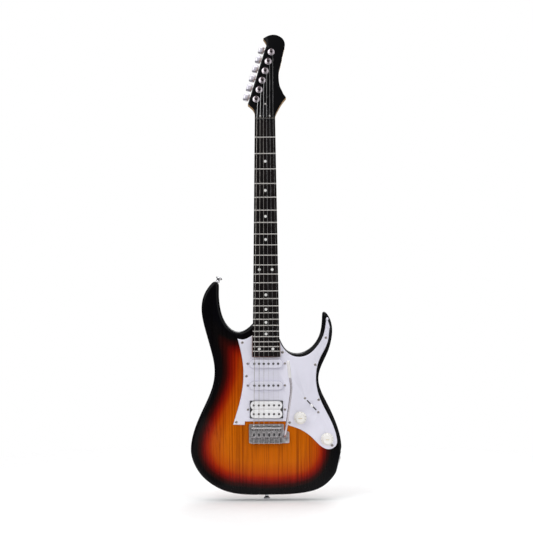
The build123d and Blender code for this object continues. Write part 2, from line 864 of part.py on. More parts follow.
with BuildPart() as pickup_tubes:
    for x, z in ADJUST:
        low = -6.0 if z != HUM_Z else -8.0
        with BuildSketch(front(low)):
            with Locations((x, z)):
                Circle(2.7)
                Circle(1.65, mode=Mode.SUBTRACT)
        extrude(amount=-low)
save(pickup_tubes, "pickup_tubes")

# ---------------------------------------------------------------- controls
with BuildPart() as pot_housings:
    for x, z in KNOBS:
        with BuildSketch(front(-12)):
            with Locations((x, z)):
                Circle(12)
        extrude(amount=10.5)
        with BuildSketch(front(-1.5)):
            with Locations((x, z)):
                Circle(4.7)
        extrude(amount=9.5)
        with BuildSketch(front(-14)):
            with Locations((x, z)):
                Circle(POST_R + RUNNING)
        extrude(amount=30, **POCKET)
        with BuildSketch(front(-12)):
            with Locations((x, z)):
                Circle(10.6)
        extrude(amount=7, **POCKET)
        with Locations((x, face_y(-13.4), z)):
            Box(17, 1.4, 6)
        with Locations((x, face_y(-12.4), z)):
            Cylinder(10.6, 0.8, rotation=(90, 0, 0))
save(pot_housings, "pot_housings")

with BuildPart() as control_nuts:
    for x, z in KNOBS:
        with BuildSketch(front(GUARD_T)):
            with Locations((x, z)):
                Circle(7)
                Circle(4.75, mode=Mode.SUBTRACT)
        extrude(amount=0.8)
        with BuildSketch(front(GUARD_T + 0.8)):
            with Locations((x, z)):
                RegularPolygon(6.3, 6)
                Circle(4.75, mode=Mode.SUBTRACT)
        extrude(amount=2.2)
save(control_nuts, "control_nuts")

KNOB_LOW = 3.2
KNOB_TOP = 18.5


def knob_shape():
    """Skirted knob with a fluted grip, hollow over the nut, with a bore for the shaft."""
    with BuildPart() as knob:
        with BuildSketch(Plane.XZ):
            with BuildLine():
                Polyline(
                    (0, KNOB_LOW),
                    (12.6, KNOB_LOW),
                    (12.6, KNOB_LOW + 1.2),
                    (10.2, KNOB_LOW + 4.4),
                    (9.4, KNOB_TOP - 1),
                    (8.6, KNOB_TOP),
                    (0, KNOB_TOP),
                    close=True,
                )
            make_face()
        revolve(axis=Axis.Z)
        with BuildSketch(Plane.XY.offset(KNOB_LOW + 5)):
            with PolarLocations(10.1, 30):
                Circle(0.55)
        extrude(amount=KNOB_TOP, **POCKET)
        with BuildSketch(Plane.XY.offset(KNOB_LOW)):
            Circle(8.4)
        extrude(amount=6.5, **POCKET)
        with BuildSketch(Plane.XY.offset(KNOB_LOW)):
            Circle(POST_R + 0.02)
        extrude(amount=KNOB_TOP - KNOB_LOW - 2.5, **POCKET)
    return knob.part


for knob_name, place in (("volume_knob", KNOBS[0]), ("tone_knob", KNOBS[1])):
    with BuildPart() as knob_and_shaft:
        with Locations(front(0).location * Location((place[0], place[1], 0))):
            add(knob_shape())
        with BuildSketch(front(-9.4)):
            with Locations(place):
                Circle(POST_R)
        extrude(amount=KNOB_TOP - 2.6 + 9.4)
        with BuildSketch(front(-11.0)):
            with Locations(place):
                Circle(8.5)
        extrude(amount=1.6)
    save(knob_and_shaft, knob_name)

LEVER_W = 5.0
LEVER_T = 1.2
with BuildPart() as switch_frame:
    with BuildSketch(switch_plane(0)):
        RectangleRounded(48, 14, 2)
        SlotOverall(SWITCH_SLOT_L, 4, mode=Mode.SUBTRACT)
        with Locations((-20.4, 0), (20.4, 0)):
            Circle(1.6, mode=Mode.SUBTRACT)
    extrude(amount=-1.2)
    for side in (-1, 1):
        with BuildSketch(switch_plane(-1.2)):
            with Locations((0, side * 5.4)):
                Rectangle(34, 1.6)
        extrude(amount=-27)
    with Locations(switch_plane(SWITCH_PIVOT_H).location):
        Cylinder(1.5, 9.4, rotation=(90, 0, 0))
save(switch_frame, "switch_frame")

with BuildPart() as switch_lever:
    with Locations(switch_plane(-5.5).location):
        Box(LEVER_W, LEVER_T, 39)
    with Locations(switch_plane(SWITCH_PIVOT_H).location):
        Cylinder(3.6, 3.2, rotation=(90, 0, 0))
        Cylinder(1.5 + RUNNING, 12, rotation=(90, 0, 0), mode=Mode.SUBTRACT)
save(switch_lever, "switch_lever")

TIP_LOW = 7.2
TIP_H = 10.3
with BuildPart() as switch_tip:
    with BuildSketch(switch_plane(TIP_LOW)):
        RectangleRounded(8.4, 5.4, 1.6)
    with BuildSketch(switch_plane(TIP_LOW + TIP_H)):
        RectangleRounded(5.6, 4.2, 1.6)
    loft()
    fillet(switch_tip.faces().sort_by(Axis.Y)[0].edges(), 1.0)
    with BuildSketch(switch_plane(TIP_LOW)):
        Rectangle(LEVER_W, LEVER_T)
    extrude(amount=14 - TIP_LOW, **POCKET)
save(switch_tip, "switch_tip")

# ---------------------------------------------------------------- output jack
PLATE_J = 1.6
with BuildPart() as jack_plate:
    with BuildSketch(JACK):
        RectangleRounded(26, 42, 4)
        Circle(4.9, mode=Mode.SUBTRACT)
        with Locations((0, -16), (0, 16)):
            Circle(1.5, mode=Mode.SUBTRACT)
    extrude(amount=PLATE_J)
    fillet(jack_plate.faces().sort_by(Axis.X)[-1].outer_wire().edges(), 0.5)
    for s in (-1, 1):
        with Locations(JACK.location * Location((0, s * 16, PLATE_J - 0.8))):
            Cone(1.45, 3.05, 1.65, **POCKET)
save(jack_plate, "jack_plate")

JACK_BORE = 3.3
with BuildPart() as jack_socket:
    with BuildSketch(JACK.offset(-5)):
        Circle(4.7)
        Circle(JACK_BORE, mode=Mode.SUBTRACT)
    extrude(amount=5 + PLATE_J + 2.4)
    with BuildSketch(JACK.offset(-8)):
        Circle(7.5)
        Circle(JACK_BORE, mode=Mode.SUBTRACT)
    extrude(amount=6.4)
    with BuildSketch(JACK.offset(-30)):
        Circle(6.6)
        Circle(5.4, mode=Mode.SUBTRACT)
    extrude(amount=22)
    with BuildSketch(JACK.offset(PLATE_J)):
        RegularPolygon(7, 6)
        Circle(4.7, mode=Mode.SUBTRACT)
    extrude(amount=2)
save(jack_socket, "jack_socket")

# ---------------------------------------------------------------- tremolo bridge
PLATE_R = 36.6
PLATE_L = -37.0
PLATE_WING = 48.0
PLATE_STEP_Z = 133.5
LIP_TOP = 12.4
ARM_X = 37.7
ARM_Z = 123.6
ARM_R = 2.5
PIVOT_X = [(i - 2.5) * BRIDGE_PITCH for i in range(6)]
INTON_H = 9.2
SADDLE_W = 10.3
SADDLE_TOP = CREST_H
SADDLE_REAR = 122.6
SADDLE_FRONT = 143.2
BLOCK_SCREWS = [(x, 121.4) for x in (-21.3, 0.0, 21.3)]
HOLE_Z = 127.2
KNEE_Z = 131.0
BALL_H = -14.0

with BuildPart() as tremolo_plate:
    with BuildSketch(front(PLATE_LOW)):
        with BuildLine():
            FilletPolyline(
                (PLATE_L, PLATE_Z0),
                (PLATE_WING, PLATE_Z0),
                (PLATE_WING, PLATE_STEP_Z),
                (PLATE_R, PLATE_STEP_Z + 1.5),
                (PLATE_R, PLATE_Z1),
                (PLATE_L, PLATE_Z1),
                radius=2.5,
                close=True,
            )
        make_face()
        with Locations(*[(x, PIVOT_Z) for x in PIVOT_X]):
            Circle(2.5, mode=Mode.SUBTRACT)
        with Locations(*[(x, HOLE_Z) for x in STRING_X_BRIDGE]):
            Circle(1.7, mode=Mode.SUBTRACT)
        with Locations(*BLOCK_SCREWS):
            Circle(1.9, mode=Mode.SUBTRACT)
        with Locations((ARM_X, ARM_Z)):
            Circle(ARM_R + 0.6, mode=Mode.SUBTRACT)
    extrude(amount=PLATE_TOP - PLATE_LOW)
    with Locations((0, face_y((PLATE_TOP + LIP_TOP) / 2), PLATE_Z0 + 0.8)):
        Box(66, LIP_TOP - PLATE_TOP, 1.6)
    with BuildSketch(Plane.XY.offset(PLATE_Z0)):
        with Locations(*[(x, face_y(INTON_H)) for x in STRING_X_BRIDGE]):
            Circle(1.6)
    extrude(amount=1.6, **POCKET)
save(tremolo_plate, "tremolo_plate")

with BuildPart() as tremolo_block:
    with BuildSketch(front(PLATE_LOW)):
        with Locations((3.6, (BLOCK_Z0 + BLOCK_Z1) / 2)):
            Rectangle(75.6, BLOCK_Z1 - BLOCK_Z0)
    extrude(amount=-BLOCK_D)
    chamfer(tremolo_block.edges().filter_by(Axis.Y), 0.8)
    with BuildSketch(front(PLATE_LOW)):
        with Locations(*[(x, HOLE_Z) for x in STRING_X_BRIDGE]):
            Circle(1.7)
    extrude(amount=-BLOCK_D, **POCKET)
    with BuildSketch(front(BALL_H)):
        with Locations(*[(x, HOLE_Z) for x in STRING_X_BRIDGE]):
            Circle(2.6)
    extrude(amount=-BLOCK_D, **POCKET)
    with BuildSketch(front(PLATE_LOW)):
        with Locations(*BLOCK_SCREWS):
            Circle(1.9)
        with Locations((ARM_X, ARM_Z)):
            Circle(ARM_R + RUNNING)
    extrude(amount=-14, **POCKET)
    with BuildSketch(front(PLATE_LOW - BLOCK_D)):
        with Locations((-12, 128.4), (0, 128.4), (12, 128.4)):
            Circle(1.0)
    extrude(amount=5, **POCKET)
save(tremolo_block, "tremolo_block")


def saddle_shape(x):
    """Bent steel saddle, seen from the side, with its slot and screw holes."""
    t = 1.4
    with BuildPart() as saddle:
        with BuildSketch(Plane.YZ.offset(x - SADDLE_W / 2)):
            with BuildLine():
                Polyline(
                    (face_y(6.0), SADDLE_REAR),
                    (face_y(SADDLE_TOP - 1.2), SADDLE_REAR),
                    (face_y(SADDLE_TOP), SADDLE_REAR + 1.4),
                    (face_y(SADDLE_TOP), SADDLE_FRONT - 1.4),
                    (face_y(SADDLE_TOP - 1.4), SADDLE_FRONT),
                    (face_y(SADDLE_TOP - 4.2), SADDLE_FRONT),
                    (face_y(SADDLE_TOP - 4.2), SADDLE_FRONT - t),
                    (face_y(SADDLE_TOP - 2.0), SADDLE_FRONT - t),
                    (face_y(SADDLE_TOP - t), SADDLE_FRONT - t - 0.8),
                    (face_y(SADDLE_TOP - t), SADDLE_REAR + t),
                    (face_y(6.0), SADDLE_REAR + t),
                    close=True,
                )
            make_face()
        extrude(amount=SADDLE_W)
        with BuildSketch(front(SADDLE_TOP + 1)):
            with Locations((x, 128.2)):
                SlotOverall(7.6, 3.2, rotation=90)
            with Locations((x - 2.7, 138.6), (x + 2.7, 138.6)):
                Circle(1.25)
        extrude(amount=-5, **POCKET)
        with BuildSketch(Plane.XY.offset(SADDLE_REAR)):
            with Locations((x, face_y(INTON_H))):
                Circle(1.35)
        extrude(amount=t, **POCKET)
    return saddle.part


with BuildPart() as saddles:
    for x in STRING_X_BRIDGE:
        add(saddle_shape(x))
save(saddles, "saddles")

with BuildPart() as saddle_screws:
    for x in STRING_X_BRIDGE:
        for s in (-1, 1):
            top = SADDLE_TOP + 0.9
            with Locations(front(top).location * Location((x + s * 2.7, 138.6, 0))):
                add(socket_screw(1.25, top - PLATE_TOP))
save(saddle_screws, "saddle_screws")

with BuildPart() as bridge_screws:
    for x in STRING_X_BRIDGE:
        with Locations(Plane(origin=(x, face_y(INTON_H), PLATE_Z0 - 0.02), z_dir=(0, 0, -1))):
            add(screw(2.6, 0.01, 1.35, 17, 1.3))
    for x, z in BLOCK_SCREWS:
        with Locations(front(PLATE_TOP + 0.02).location * Location((x, z, 0))):
            add(screw(3.0, 0.01, 1.85, 15, 1.4))
save(bridge_screws, "bridge_screws")

INTON_SPRING = coil(2.0, 0.3, 1.3, 9.6)
with BuildPart() as intonation_springs:
    for x in STRING_X_BRIDGE:
        with Locations((x, face_y(INTON_H), PLATE_Z0 + 2.2)):
            add(INTON_SPRING)
save(intonation_springs, "intonation_springs")

with BuildPart() as string_tails:
    for i in range(6):
        x = STRING_X_BRIDGE[i]
        crest = face_y(CREST_H + STRING_R[i])
        add(rod((x, crest, SADDLE_Z - 0.15), (x, crest, KNEE_Z), STRING_R[i]))
        with Locations((x, crest, KNEE_Z)):
            Sphere(STRING_R[i])
        add(rod((x, crest, KNEE_Z), (x, face_y(PLATE_LOW - 2), HOLE_Z), STRING_R[i]))
        with Locations((x, face_y(PLATE_LOW - 2), HOLE_Z)):
            Sphere(STRING_R[i])
        add(rod((x, face_y(PLATE_LOW - 2), HOLE_Z), (x, face_y(BALL_H), HOLE_Z), STRING_R[i]))
        with Locations((x, face_y(BALL_H - 2.0), HOLE_Z)):
            Cylinder(2.0, 4.0, rotation=(90, 0, 0))
save(string_tails, "string_tails")

PIVOT_HEAD = PLATE_TOP + 0.75
with BuildPart() as pivot_screws:
    for x in PIVOT_X:
        with Locations(front(PIVOT_HEAD).location * Location((x, PIVOT_Z, 0))):
            add(screw(2.9, 0.01, 1.7, 24, 1.6))
save(pivot_screws, "pivot_screws")

ARM_PATH = (
    (ARM_X, 4.0, ARM_Z),
    (ARM_X + 0.1, 13.0, ARM_Z + 0.6),
    (39.0, 23.0, 130.0),
    (41.6, 28.0, 147.0),
    (46.4, 33.0, 180.0),
    (50.6, 38.0, 212.0),
    (51.6, 41.0, 234.0),
    (49.6, 42.5, 250.0),
)
ARM_TIP_END = (45.5, 43.5, 285.0)
ARM_IN_TIP = 24.0
arm_points = [(x, face_y(h), z) for x, h, z in ARM_PATH]
tip_end = (ARM_TIP_END[0], face_y(ARM_TIP_END[1]), ARM_TIP_END[2])
tip_dir = Vector(*tip_end) - Vector(*arm_points[-1])
with BuildPart() as trem_arm:
    with BuildLine():
        Spline(
            (ARM_X, face_y(PLATE_LOW), ARM_Z),
            *arm_points,
            tuple(Vector(*arm_points[-1]) + tip_dir.normalized() * ARM_IN_TIP),
            tangents=((0, -1, 0), tuple(tip_dir.normalized())),
        )
    with BuildSketch(front(PLATE_LOW)):
        with Locations((ARM_X, ARM_Z)):
            Circle(ARM_R)
    sweep()
save(trem_arm, "trem_arm")

with BuildPart() as arm_tip:
    with BuildSketch(Plane(origin=arm_points[-1], z_dir=tip_dir)):
        Circle(3.0)
    with BuildSketch(Plane(origin=tip_end, z_dir=tip_dir)):
        Circle(3.6)
    loft()
    fillet(arm_tip.faces().sort_by(Axis.Z)[-1].edges(), 2.4)
    with BuildSketch(Plane(origin=arm_points[-1], z_dir=tip_dir)):
        Circle(ARM_R)
    extrude(amount=ARM_IN_TIP, **POCKET)
save(arm_tip, "arm_tip")

# ---------------------------------------------------------------- springs, claw and back cover
SPRING_X = (-12.0, 0.0, 12.0)
SPRING_Y = 13.0
CLAW_Z = 226.0
with BuildPart() as trem_springs:
    for x in SPRING_X:
        with Locations((x, SPRING_Y, 138.5)):
            add(coil(3.6, 0.5, 2.6, 78.0))
    for x in SPRING_X:
        add(rod((x, SPRING_Y, 134.0), (x + 3.6, SPRING_Y, 138.5), 0.5))
        add(rod((x, SPRING_Y, 131.5), (x, SPRING_Y, 134.0), 0.5))
        add(rod((x + 3.6, SPRING_Y, 216.5), (x, SPRING_Y, 221.0), 0.5))
save(trem_springs, "trem_springs")

with BuildPart() as spring_claw:
    with Locations((0, 13, CLAW_Z)):
        Box(54, 13, 1.8)
    for x in (-24, *SPRING_X, 24):
        with Locations((x, 8, CLAW_Z - 2)):
            Box(3, 1.5, 5)
    for x in (-CLAW_SCREW_X - 4, CLAW_SCREW_X + 4):
        with Locations((x, 12, CLAW_Z)):
            Cylinder(2.1, 6, **POCKET)
save(spring_claw, "spring_claw")

COVER_X = 98.0
with BuildPart() as spring_cover:
    with BuildSketch(back(0)):
        with Locations((0, 172)):
            RectangleRounded(COVER_X, 156, 6)
        with Locations((0, HOLE_Z)):
            SlotOverall(66, 12, mode=Mode.SUBTRACT)
        with Locations(*COVER_SCREWS):
            Circle(1.5, mode=Mode.SUBTRACT)
    extrude(amount=2.0)
    chamfer(spring_cover.faces().sort_by(Axis.Y)[-1].outer_wire().edges(), 0.7)
    for x, z in COVER_SCREWS:
        with Locations((x, BODY_T / 2 + 1.2, z)):
            Cone(1.45, 3.05, 1.65, rotation=(-90, 0, 0), **POCKET)
save(spring_cover, "spring_cover")

# ---------------------------------------------------------------- tuning machines
HOUSING_Z = 12.0
SHAFT_R = 2.0
WORM_R = 1.6
GEAR_R = 3.4
GEAR_TEETH = 15
POST_TOP = 15.5
BUTTON_L = 12.0

with BuildPart() as tuner_bushings:
    for i in range(6):
        with BuildSketch(tuner_plane(i, -HEAD_T + 0.1)):
            Circle(4.85)
        extrude(amount=HEAD_T - 0.1)
        with BuildSketch(tuner_plane(i)):
            Circle(7.2)
        extrude(amount=0.9)
        with BuildSketch(tuner_plane(i, 0.9)):
            RegularPolygon(6.4, 6, rotation=90)
        extrude(amount=2.8)
        with BuildSketch(tuner_plane(i, 3.7)):
            Circle(4.6)
        extrude(amount=0.8)
        with BuildSketch(tuner_plane(i, -HEAD_T)):
            Circle(POST_R + RUNNING)
        extrude(amount=HEAD_T + 8, **POCKET)
save(tuner_bushings, "tuner_bushings")

with BuildPart() as tuner_housings:
    for i in range(6):
        with BuildSketch(tuner_plane(i, -HEAD_T)):
            with Locations((1.5, -1.75)):
                RectangleRounded(19, 17.5, 3)
            with Locations((1.5, -11)):
                RectangleRounded(7, 7, 2.5)
        extrude(amount=-1.8)
        with BuildSketch(tuner_plane(i, -HEAD_T - 1.8)):
            with Locations((1.5, -1.75)):
                RectangleRounded(19, 17.5, 3)
        extrude(amount=-HOUSING_Z + 1.8)
        with Locations(tuner_plane(i).location * Location((12.2, -WORM_OFFSET, GEAR_W), (0, 90, 0))):
            Cylinder(3.6, 3.2)
        with Locations(tuner_plane(i).location * Location((1.5, -2.0, GEAR_W))):
            Box(13.4, 12.4, 8.6, **POCKET)
        with BuildSketch(tuner_plane(i, -HEAD_T)):
            Circle(POST_R + RUNNING)
        extrude(amount=-3, **POCKET)
        with BuildSketch(tuner_plane(i, -HEAD_T)):
            with Locations((1.5, -12)):
                Circle(1.45)
        extrude(amount=-3, **POCKET)
        with Locations(tuner_plane(i).location * Location((11, -WORM_OFFSET, GEAR_W), (0, 90, 0))):
            Cylinder(SHAFT_R + RUNNING, 9, **POCKET)
save(tuner_housings, "tuner_housings")

for i in range(6):
    r = STRING_R[i]
    with BuildPart() as post:
        with BuildSketch(tuner_plane(i, GEAR_W - 3.4)):
            Circle(2.0)
        extrude(amount=9)
        with BuildSketch(tuner_plane(i, -HEAD_T - 0.5)):
            Circle(POST_R)
        extrude(amount=POST_TOP + HEAD_T + 0.5)
        with BuildSketch(tuner_plane(i, GEAR_W - 1.8)):
            Circle(GEAR_R)
            with PolarLocations(GEAR_R, GEAR_TEETH):
                Circle(0.36, mode=Mode.SUBTRACT)
        extrude(amount=3.6)
        with Locations(tuner_plane(i).location * Location((0, 0, WRAP_W + 2.4), (90, 0, 90))):
            Cylinder(0.9, 12, **POCKET)
        with BuildSketch(tuner_plane(i, POST_TOP)):
            Circle(1.1)
        extrude(amount=-2, **POCKET)
        for k in range(3):
            with Locations(tuner_plane(i).location * Location((0, 0, WRAP_W - (k + 1) * (2 * r + 0.08)))):
                Torus(POST_R + r + 0.03, r)
    save(post, f"tuner_post_{i + 1}")

for i in range(6):
    axis = tuner_plane(i).location * Location((0, -WORM_OFFSET, GEAR_W), (0, 90, 0))
    with BuildPart() as key:
        with Locations(axis * Location((0, 0, 2.25))):
            Cylinder(WORM_R, 13.5)
        with Locations(axis * Location((0, 0, 13.3))):
            Cylinder(SHAFT_R, 9)
        with Locations(axis * Location((0, 0, 16.6))):
            Cylinder(3.0, 1.6)
        with BuildSketch(Plane(axis * Location((0, 0, BUTTON_X - BUTTON_L / 2)))):
            Ellipse(4.4, 8.75)
        extrude(amount=BUTTON_L)
        ends = key.faces().filter_by(lambda f: f.area > 90 and f.geom_type == GeomType.PLANE)
        chamfer([edge for face in ends for edge in face.outer_wire().edges()], 1.2)
    save(key, f"tuner_key_{i + 1}")

# ---------------------------------------------------------------- strap buttons, neck plate and screws
BUTTON_OUTLINE = (
    (1.95, 0),
    (4.4, 0),
    (3.4, 3.4),
    (4.2, 6),
    (6.7, 7.6),
    (6.7, 9.6),
    (5.4, 10.9),
    (3.5, 10.9),
    (1.95, 9.2),
)
with BuildPart() as strap_buttons:
    for seat in (HORN_AXIS, TAIL_AXIS):
        with Locations(seat):
            add(turned(BUTTON_OUTLINE))
save(strap_buttons, "strap_buttons")

PLATE_N = 1.6
with BuildPart() as neck_plate:
    with BuildSketch(back(0)):
        with Locations((0, NECK_PLATE_Z)):
            RectangleRounded(51, 51, 5)
        with Locations(*NECK_SCREWS):
            Circle(NECK_SCREW_R + 0.1, mode=Mode.SUBTRACT)
    extrude(amount=PLATE_N)
    chamfer(neck_plate.faces().sort_by(Axis.Y)[-1].outer_wire().edges(), 0.5)
save(neck_plate, "neck_plate")

with BuildPart() as wood_screws:
    for x, z in NECK_SCREWS:
        with Locations(back(PLATE_N + 0.02).location * Location((-x, z, 0))):
            add(screw(4.2, 0.01, NECK_SCREW_R, 40, 1.8))
    for seat in (HORN_AXIS, TAIL_AXIS):
        with Locations(seat.offset(10.95)):
            add(screw(3.4, 1.7, 1.85, 30, 1.2))
    for x in (-CLAW_SCREW_X - 4, CLAW_SCREW_X + 4):
        with Locations(Plane(origin=(x, 12, CLAW_Z - 0.95), z_dir=(0, 0, -1))):
            add(screw(3.6, 0.01, 1.85, 36, 1.6))
save(wood_screws, "wood_screws")

with BuildPart() as small_screws:
    for x, z in GUARD_SCREWS:
        with Locations(front(GUARD_T).location * Location((x, z, 0))):
            add(SMALL_SCREW)
    for x, z in COVER_SCREWS:
        with Locations(back(2.0).location * Location((-x, z, 0))):
            add(SMALL_SCREW)
    for s in (-16, 16):
        with Locations(JACK.location * Location((0, s, PLATE_J))):
            add(SMALL_SCREW)
    for u, v in ((-10, 3.2), (10, 3.2), (0.5, 30)):
        with Locations(HEAD.location * Location((u, v, COVER_T))):
            add(screw(2.2, 0.01, 1.35, 9, 1.2))
save(small_screws, "small_screws")
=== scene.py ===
"""The guitar's visual model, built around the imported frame.

Lengths are in millimetres, times MM where Blender wants metres. Seen from the
front X runs to the right, Z runs up the neck and the front faces -Y.
"""

import json
import math

import bmesh
import bpy
import numpy as np
from mathutils import Matrix, Vector
from mathutils.geometry import delaunay_2d_cdt

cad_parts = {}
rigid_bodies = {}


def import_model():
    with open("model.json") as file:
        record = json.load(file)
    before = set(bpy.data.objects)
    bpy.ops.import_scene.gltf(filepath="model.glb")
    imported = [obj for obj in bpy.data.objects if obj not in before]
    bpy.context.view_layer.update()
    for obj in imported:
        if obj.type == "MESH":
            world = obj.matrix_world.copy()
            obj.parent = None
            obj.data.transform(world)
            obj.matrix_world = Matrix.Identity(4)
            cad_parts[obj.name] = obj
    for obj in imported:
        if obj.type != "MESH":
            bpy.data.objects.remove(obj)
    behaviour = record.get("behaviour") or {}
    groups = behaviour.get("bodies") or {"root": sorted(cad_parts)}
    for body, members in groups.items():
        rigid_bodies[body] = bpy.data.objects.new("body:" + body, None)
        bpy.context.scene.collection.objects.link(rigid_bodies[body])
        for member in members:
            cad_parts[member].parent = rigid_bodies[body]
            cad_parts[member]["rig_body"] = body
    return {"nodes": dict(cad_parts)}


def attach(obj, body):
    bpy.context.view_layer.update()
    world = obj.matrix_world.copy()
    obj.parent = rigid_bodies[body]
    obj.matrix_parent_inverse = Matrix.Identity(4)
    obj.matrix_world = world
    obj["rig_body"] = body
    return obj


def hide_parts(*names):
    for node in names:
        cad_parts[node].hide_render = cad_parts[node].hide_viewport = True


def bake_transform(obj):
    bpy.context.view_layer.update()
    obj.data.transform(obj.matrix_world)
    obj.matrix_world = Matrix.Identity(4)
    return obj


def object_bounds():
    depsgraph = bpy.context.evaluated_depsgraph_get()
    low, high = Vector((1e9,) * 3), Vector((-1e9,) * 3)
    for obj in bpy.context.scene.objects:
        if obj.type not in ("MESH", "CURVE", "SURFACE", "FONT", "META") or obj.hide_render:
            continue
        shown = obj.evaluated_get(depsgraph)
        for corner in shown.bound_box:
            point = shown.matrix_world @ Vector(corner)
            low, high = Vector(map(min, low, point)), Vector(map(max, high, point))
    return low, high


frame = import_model()
CAD_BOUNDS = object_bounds()
nodes = frame["nodes"]

MM = 0.001
FRONT = -21.0  # y of the body's flat face; the flat back is at -FRONT
NECK_PICKUP_Z = 277.0
MIDDLE_PICKUP_Z = 231.1
HUMBUCKER_Z = 180.3
SMOOTH_ANGLE = 32  # degrees


# ---------------------------------------------------------------- materials
def new_material(name):
    """A new material with its node tree and its main shader."""
    material = bpy.data.materials.new(name)
    material.use_nodes = True
    tree = material.node_tree
    return material, tree, tree.nodes["Principled BSDF"]


def node(tree, kind, **values):
    """A new shader node, with its inputs or settings given by name."""
    made = tree.nodes.new(kind)
    for key, value in values.items():
        if key in made.inputs:
            made.inputs[key].default_value = value
        else:
            setattr(made, key, value)
    return made


def noise(tree, scale, stretch=(1, 1, 1), detail=4.0, rough=0.55):
    """Noise in the piece's own coordinates; a small number in stretch draws it out along that axis."""
    coord = node(tree, "ShaderNodeTexCoord")
    mapping = node(tree, "ShaderNodeMapping")
    mapping.inputs["Scale"].default_value = stretch
    tree.links.new(coord.outputs["Object"], mapping.inputs["Vector"])
    texture = node(tree, "ShaderNodeTexNoise", Scale=scale, Detail=detail, Roughness=rough)
    tree.links.new(mapping.outputs["Vector"], texture.inputs["Vector"])
    return texture.outputs["Fac"]


def ramp(tree, factor, stops):
    """Colours along a factor, from (place, colour) stops."""
    made = node(tree, "ShaderNodeValToRGB")
    bar = made.color_ramp.elements
    while len(bar) < len(stops):
        bar.new(0.5)
    for element, (place, colour) in zip(bar, stops):
        element.position = place
        element.color = (*colour, 1.0)
    tree.links.new(factor, made.inputs["Fac"])
    return made.outputs["Color"]


def spread(tree, factor, low, high, start=0.3, end=0.7):
    """Maps a factor's start and end onto low and high, and holds it between them."""
    made = node(tree, "ShaderNodeMapRange")
    made.inputs["From Min"].default_value = start
    made.inputs["From Max"].default_value = end
    made.inputs["To Min"].default_value = low
    made.inputs["To Max"].default_value = high
    tree.links.new(factor, made.inputs["Value"])
    return made.outputs["Result"]


def relief(tree, bsdf, factor, distance, strength=0.4):
    """Raises a fine relief from a factor, distance metres deep."""
    bump = node(tree, "ShaderNodeBump", Strength=strength, Distance=distance)
    tree.links.new(factor, bump.inputs["Height"])
    tree.links.new(bump.outputs["Normal"], bsdf.inputs["Normal"])


def surface(name, base, rough, vary, scale, metal=0.0, bump=0.00002, coat=0.0, gloss=0.5):
    """A general finish: mottled colour, and fine changes of gloss and relief."""
    material, tree, bsdf = new_material(name)
    tone = noise(tree, scale)
    dark = tuple(c * (1 - vary) for c in base)
    light = tuple(min(1.0, c * (1 + vary)) for c in base)
    tree.links.new(ramp(tree, tone, ((0.3, dark), (0.7, light))), bsdf.inputs["Base Color"])
    grain = noise(tree, 900.0, detail=2.0)
    tree.links.new(spread(tree, grain, rough * 0.75, rough * 1.3), bsdf.inputs["Roughness"])
    bsdf.inputs["Metallic"].default_value = metal
    bsdf.inputs["Coat Weight"].default_value = coat
    bsdf.inputs["Coat Roughness"].default_value = 0.04
    bsdf.inputs["Specular IOR Level"].default_value = gloss
    relief(tree, bsdf, grain, bump)
    return material


CHROME = surface("chrome", (0.66, 0.66, 0.69), rough=0.14, metal=1.0, vary=0.05, scale=200)
NICKEL = surface("nickel", (0.66, 0.64, 0.61), rough=0.2, metal=1.0, vary=0.08, scale=300)
SCREW = surface("screw_nickel", (0.34, 0.31, 0.3), rough=0.22, metal=1.0, vary=0.1, scale=300)
BRIDGE = surface("satin_bridge", (0.48, 0.46, 0.47), rough=0.34, metal=1.0, vary=0.12, scale=260)
KEY_METAL = surface("key_chrome", (0.64, 0.62, 0.69), rough=0.34, metal=1.0, vary=0.04, scale=200)
WASHER = surface("washer_chrome", (0.66, 0.6, 0.64), rough=0.3, metal=1.0, vary=0.06, scale=220)
POST = surface("post_steel", (0.16, 0.13, 0.14), rough=0.26, metal=1.0, vary=0.1, scale=220)
ARM_METAL = surface(
    "arm_chrome", (0.64, 0.6, 0.64), rough=0.3, metal=1.0, vary=0.05, scale=200, bump=0.000004,
)
STEEL = surface("steel", (0.42, 0.42, 0.43), rough=0.32, metal=1.0, vary=0.12, scale=200)
# Dark steel for pole pieces, magnet and saddle screws; it is also the painted shade on the tremolo plate
# and on and in the saddles
DARK_STEEL_AND_SHADE = surface("dark_steel_and_shade", (0.07, 0.06, 0.06), rough=0.35, metal=1.0, vary=0.15, scale=300)
ZINC = surface("zinc", (0.33, 0.33, 0.34), rough=0.45, metal=0.9, vary=0.12, scale=200)
WHITE = surface("white_plastic", (0.9, 0.895, 0.91), rough=0.22, vary=0.02, scale=150)
CREAM = surface("cream_plastic", (0.88, 0.86, 0.82), rough=0.25, vary=0.03, scale=150)
BLACK = surface("black_plastic", (0.005, 0.005, 0.006), rough=0.2, vary=0.3, scale=150, gloss=0.25)
FIBRE = surface("fibre", (0.02, 0.02, 0.02), rough=0.7, vary=0.3, scale=300, bump=0.00008)
TUBING = surface("tubing", (0.1, 0.085, 0.07), rough=0.6, vary=0.2, scale=200)
PEARL = surface("pearl", (0.82, 0.82, 0.80), rough=0.2, vary=0.12, scale=500, coat=0.5)
GOLD_INK = surface("gold_ink", (0.55, 0.38, 0.12), rough=0.35, metal=0.5, vary=0.1, scale=400)
DIAL_INK = surface("dial_ink", (0.12, 0.08, 0.07), rough=0.4, vary=0.1, scale=400)
PLIES = surface("plies", (0.2, 0.2, 0.22), rough=0.4, vary=0.1, scale=400)
TIP = surface("tip_plastic", (0.83, 0.81, 0.82), rough=0.25, vary=0.03, scale=150)
COVER = surface("cover_white", (0.77, 0.76, 0.86), rough=0.24, vary=0.02, scale=150)
PLASTIC_GUARD = surface("guard_white", (0.79, 0.78, 0.88), rough=0.16, vary=0.015, scale=40, coat=0.2)


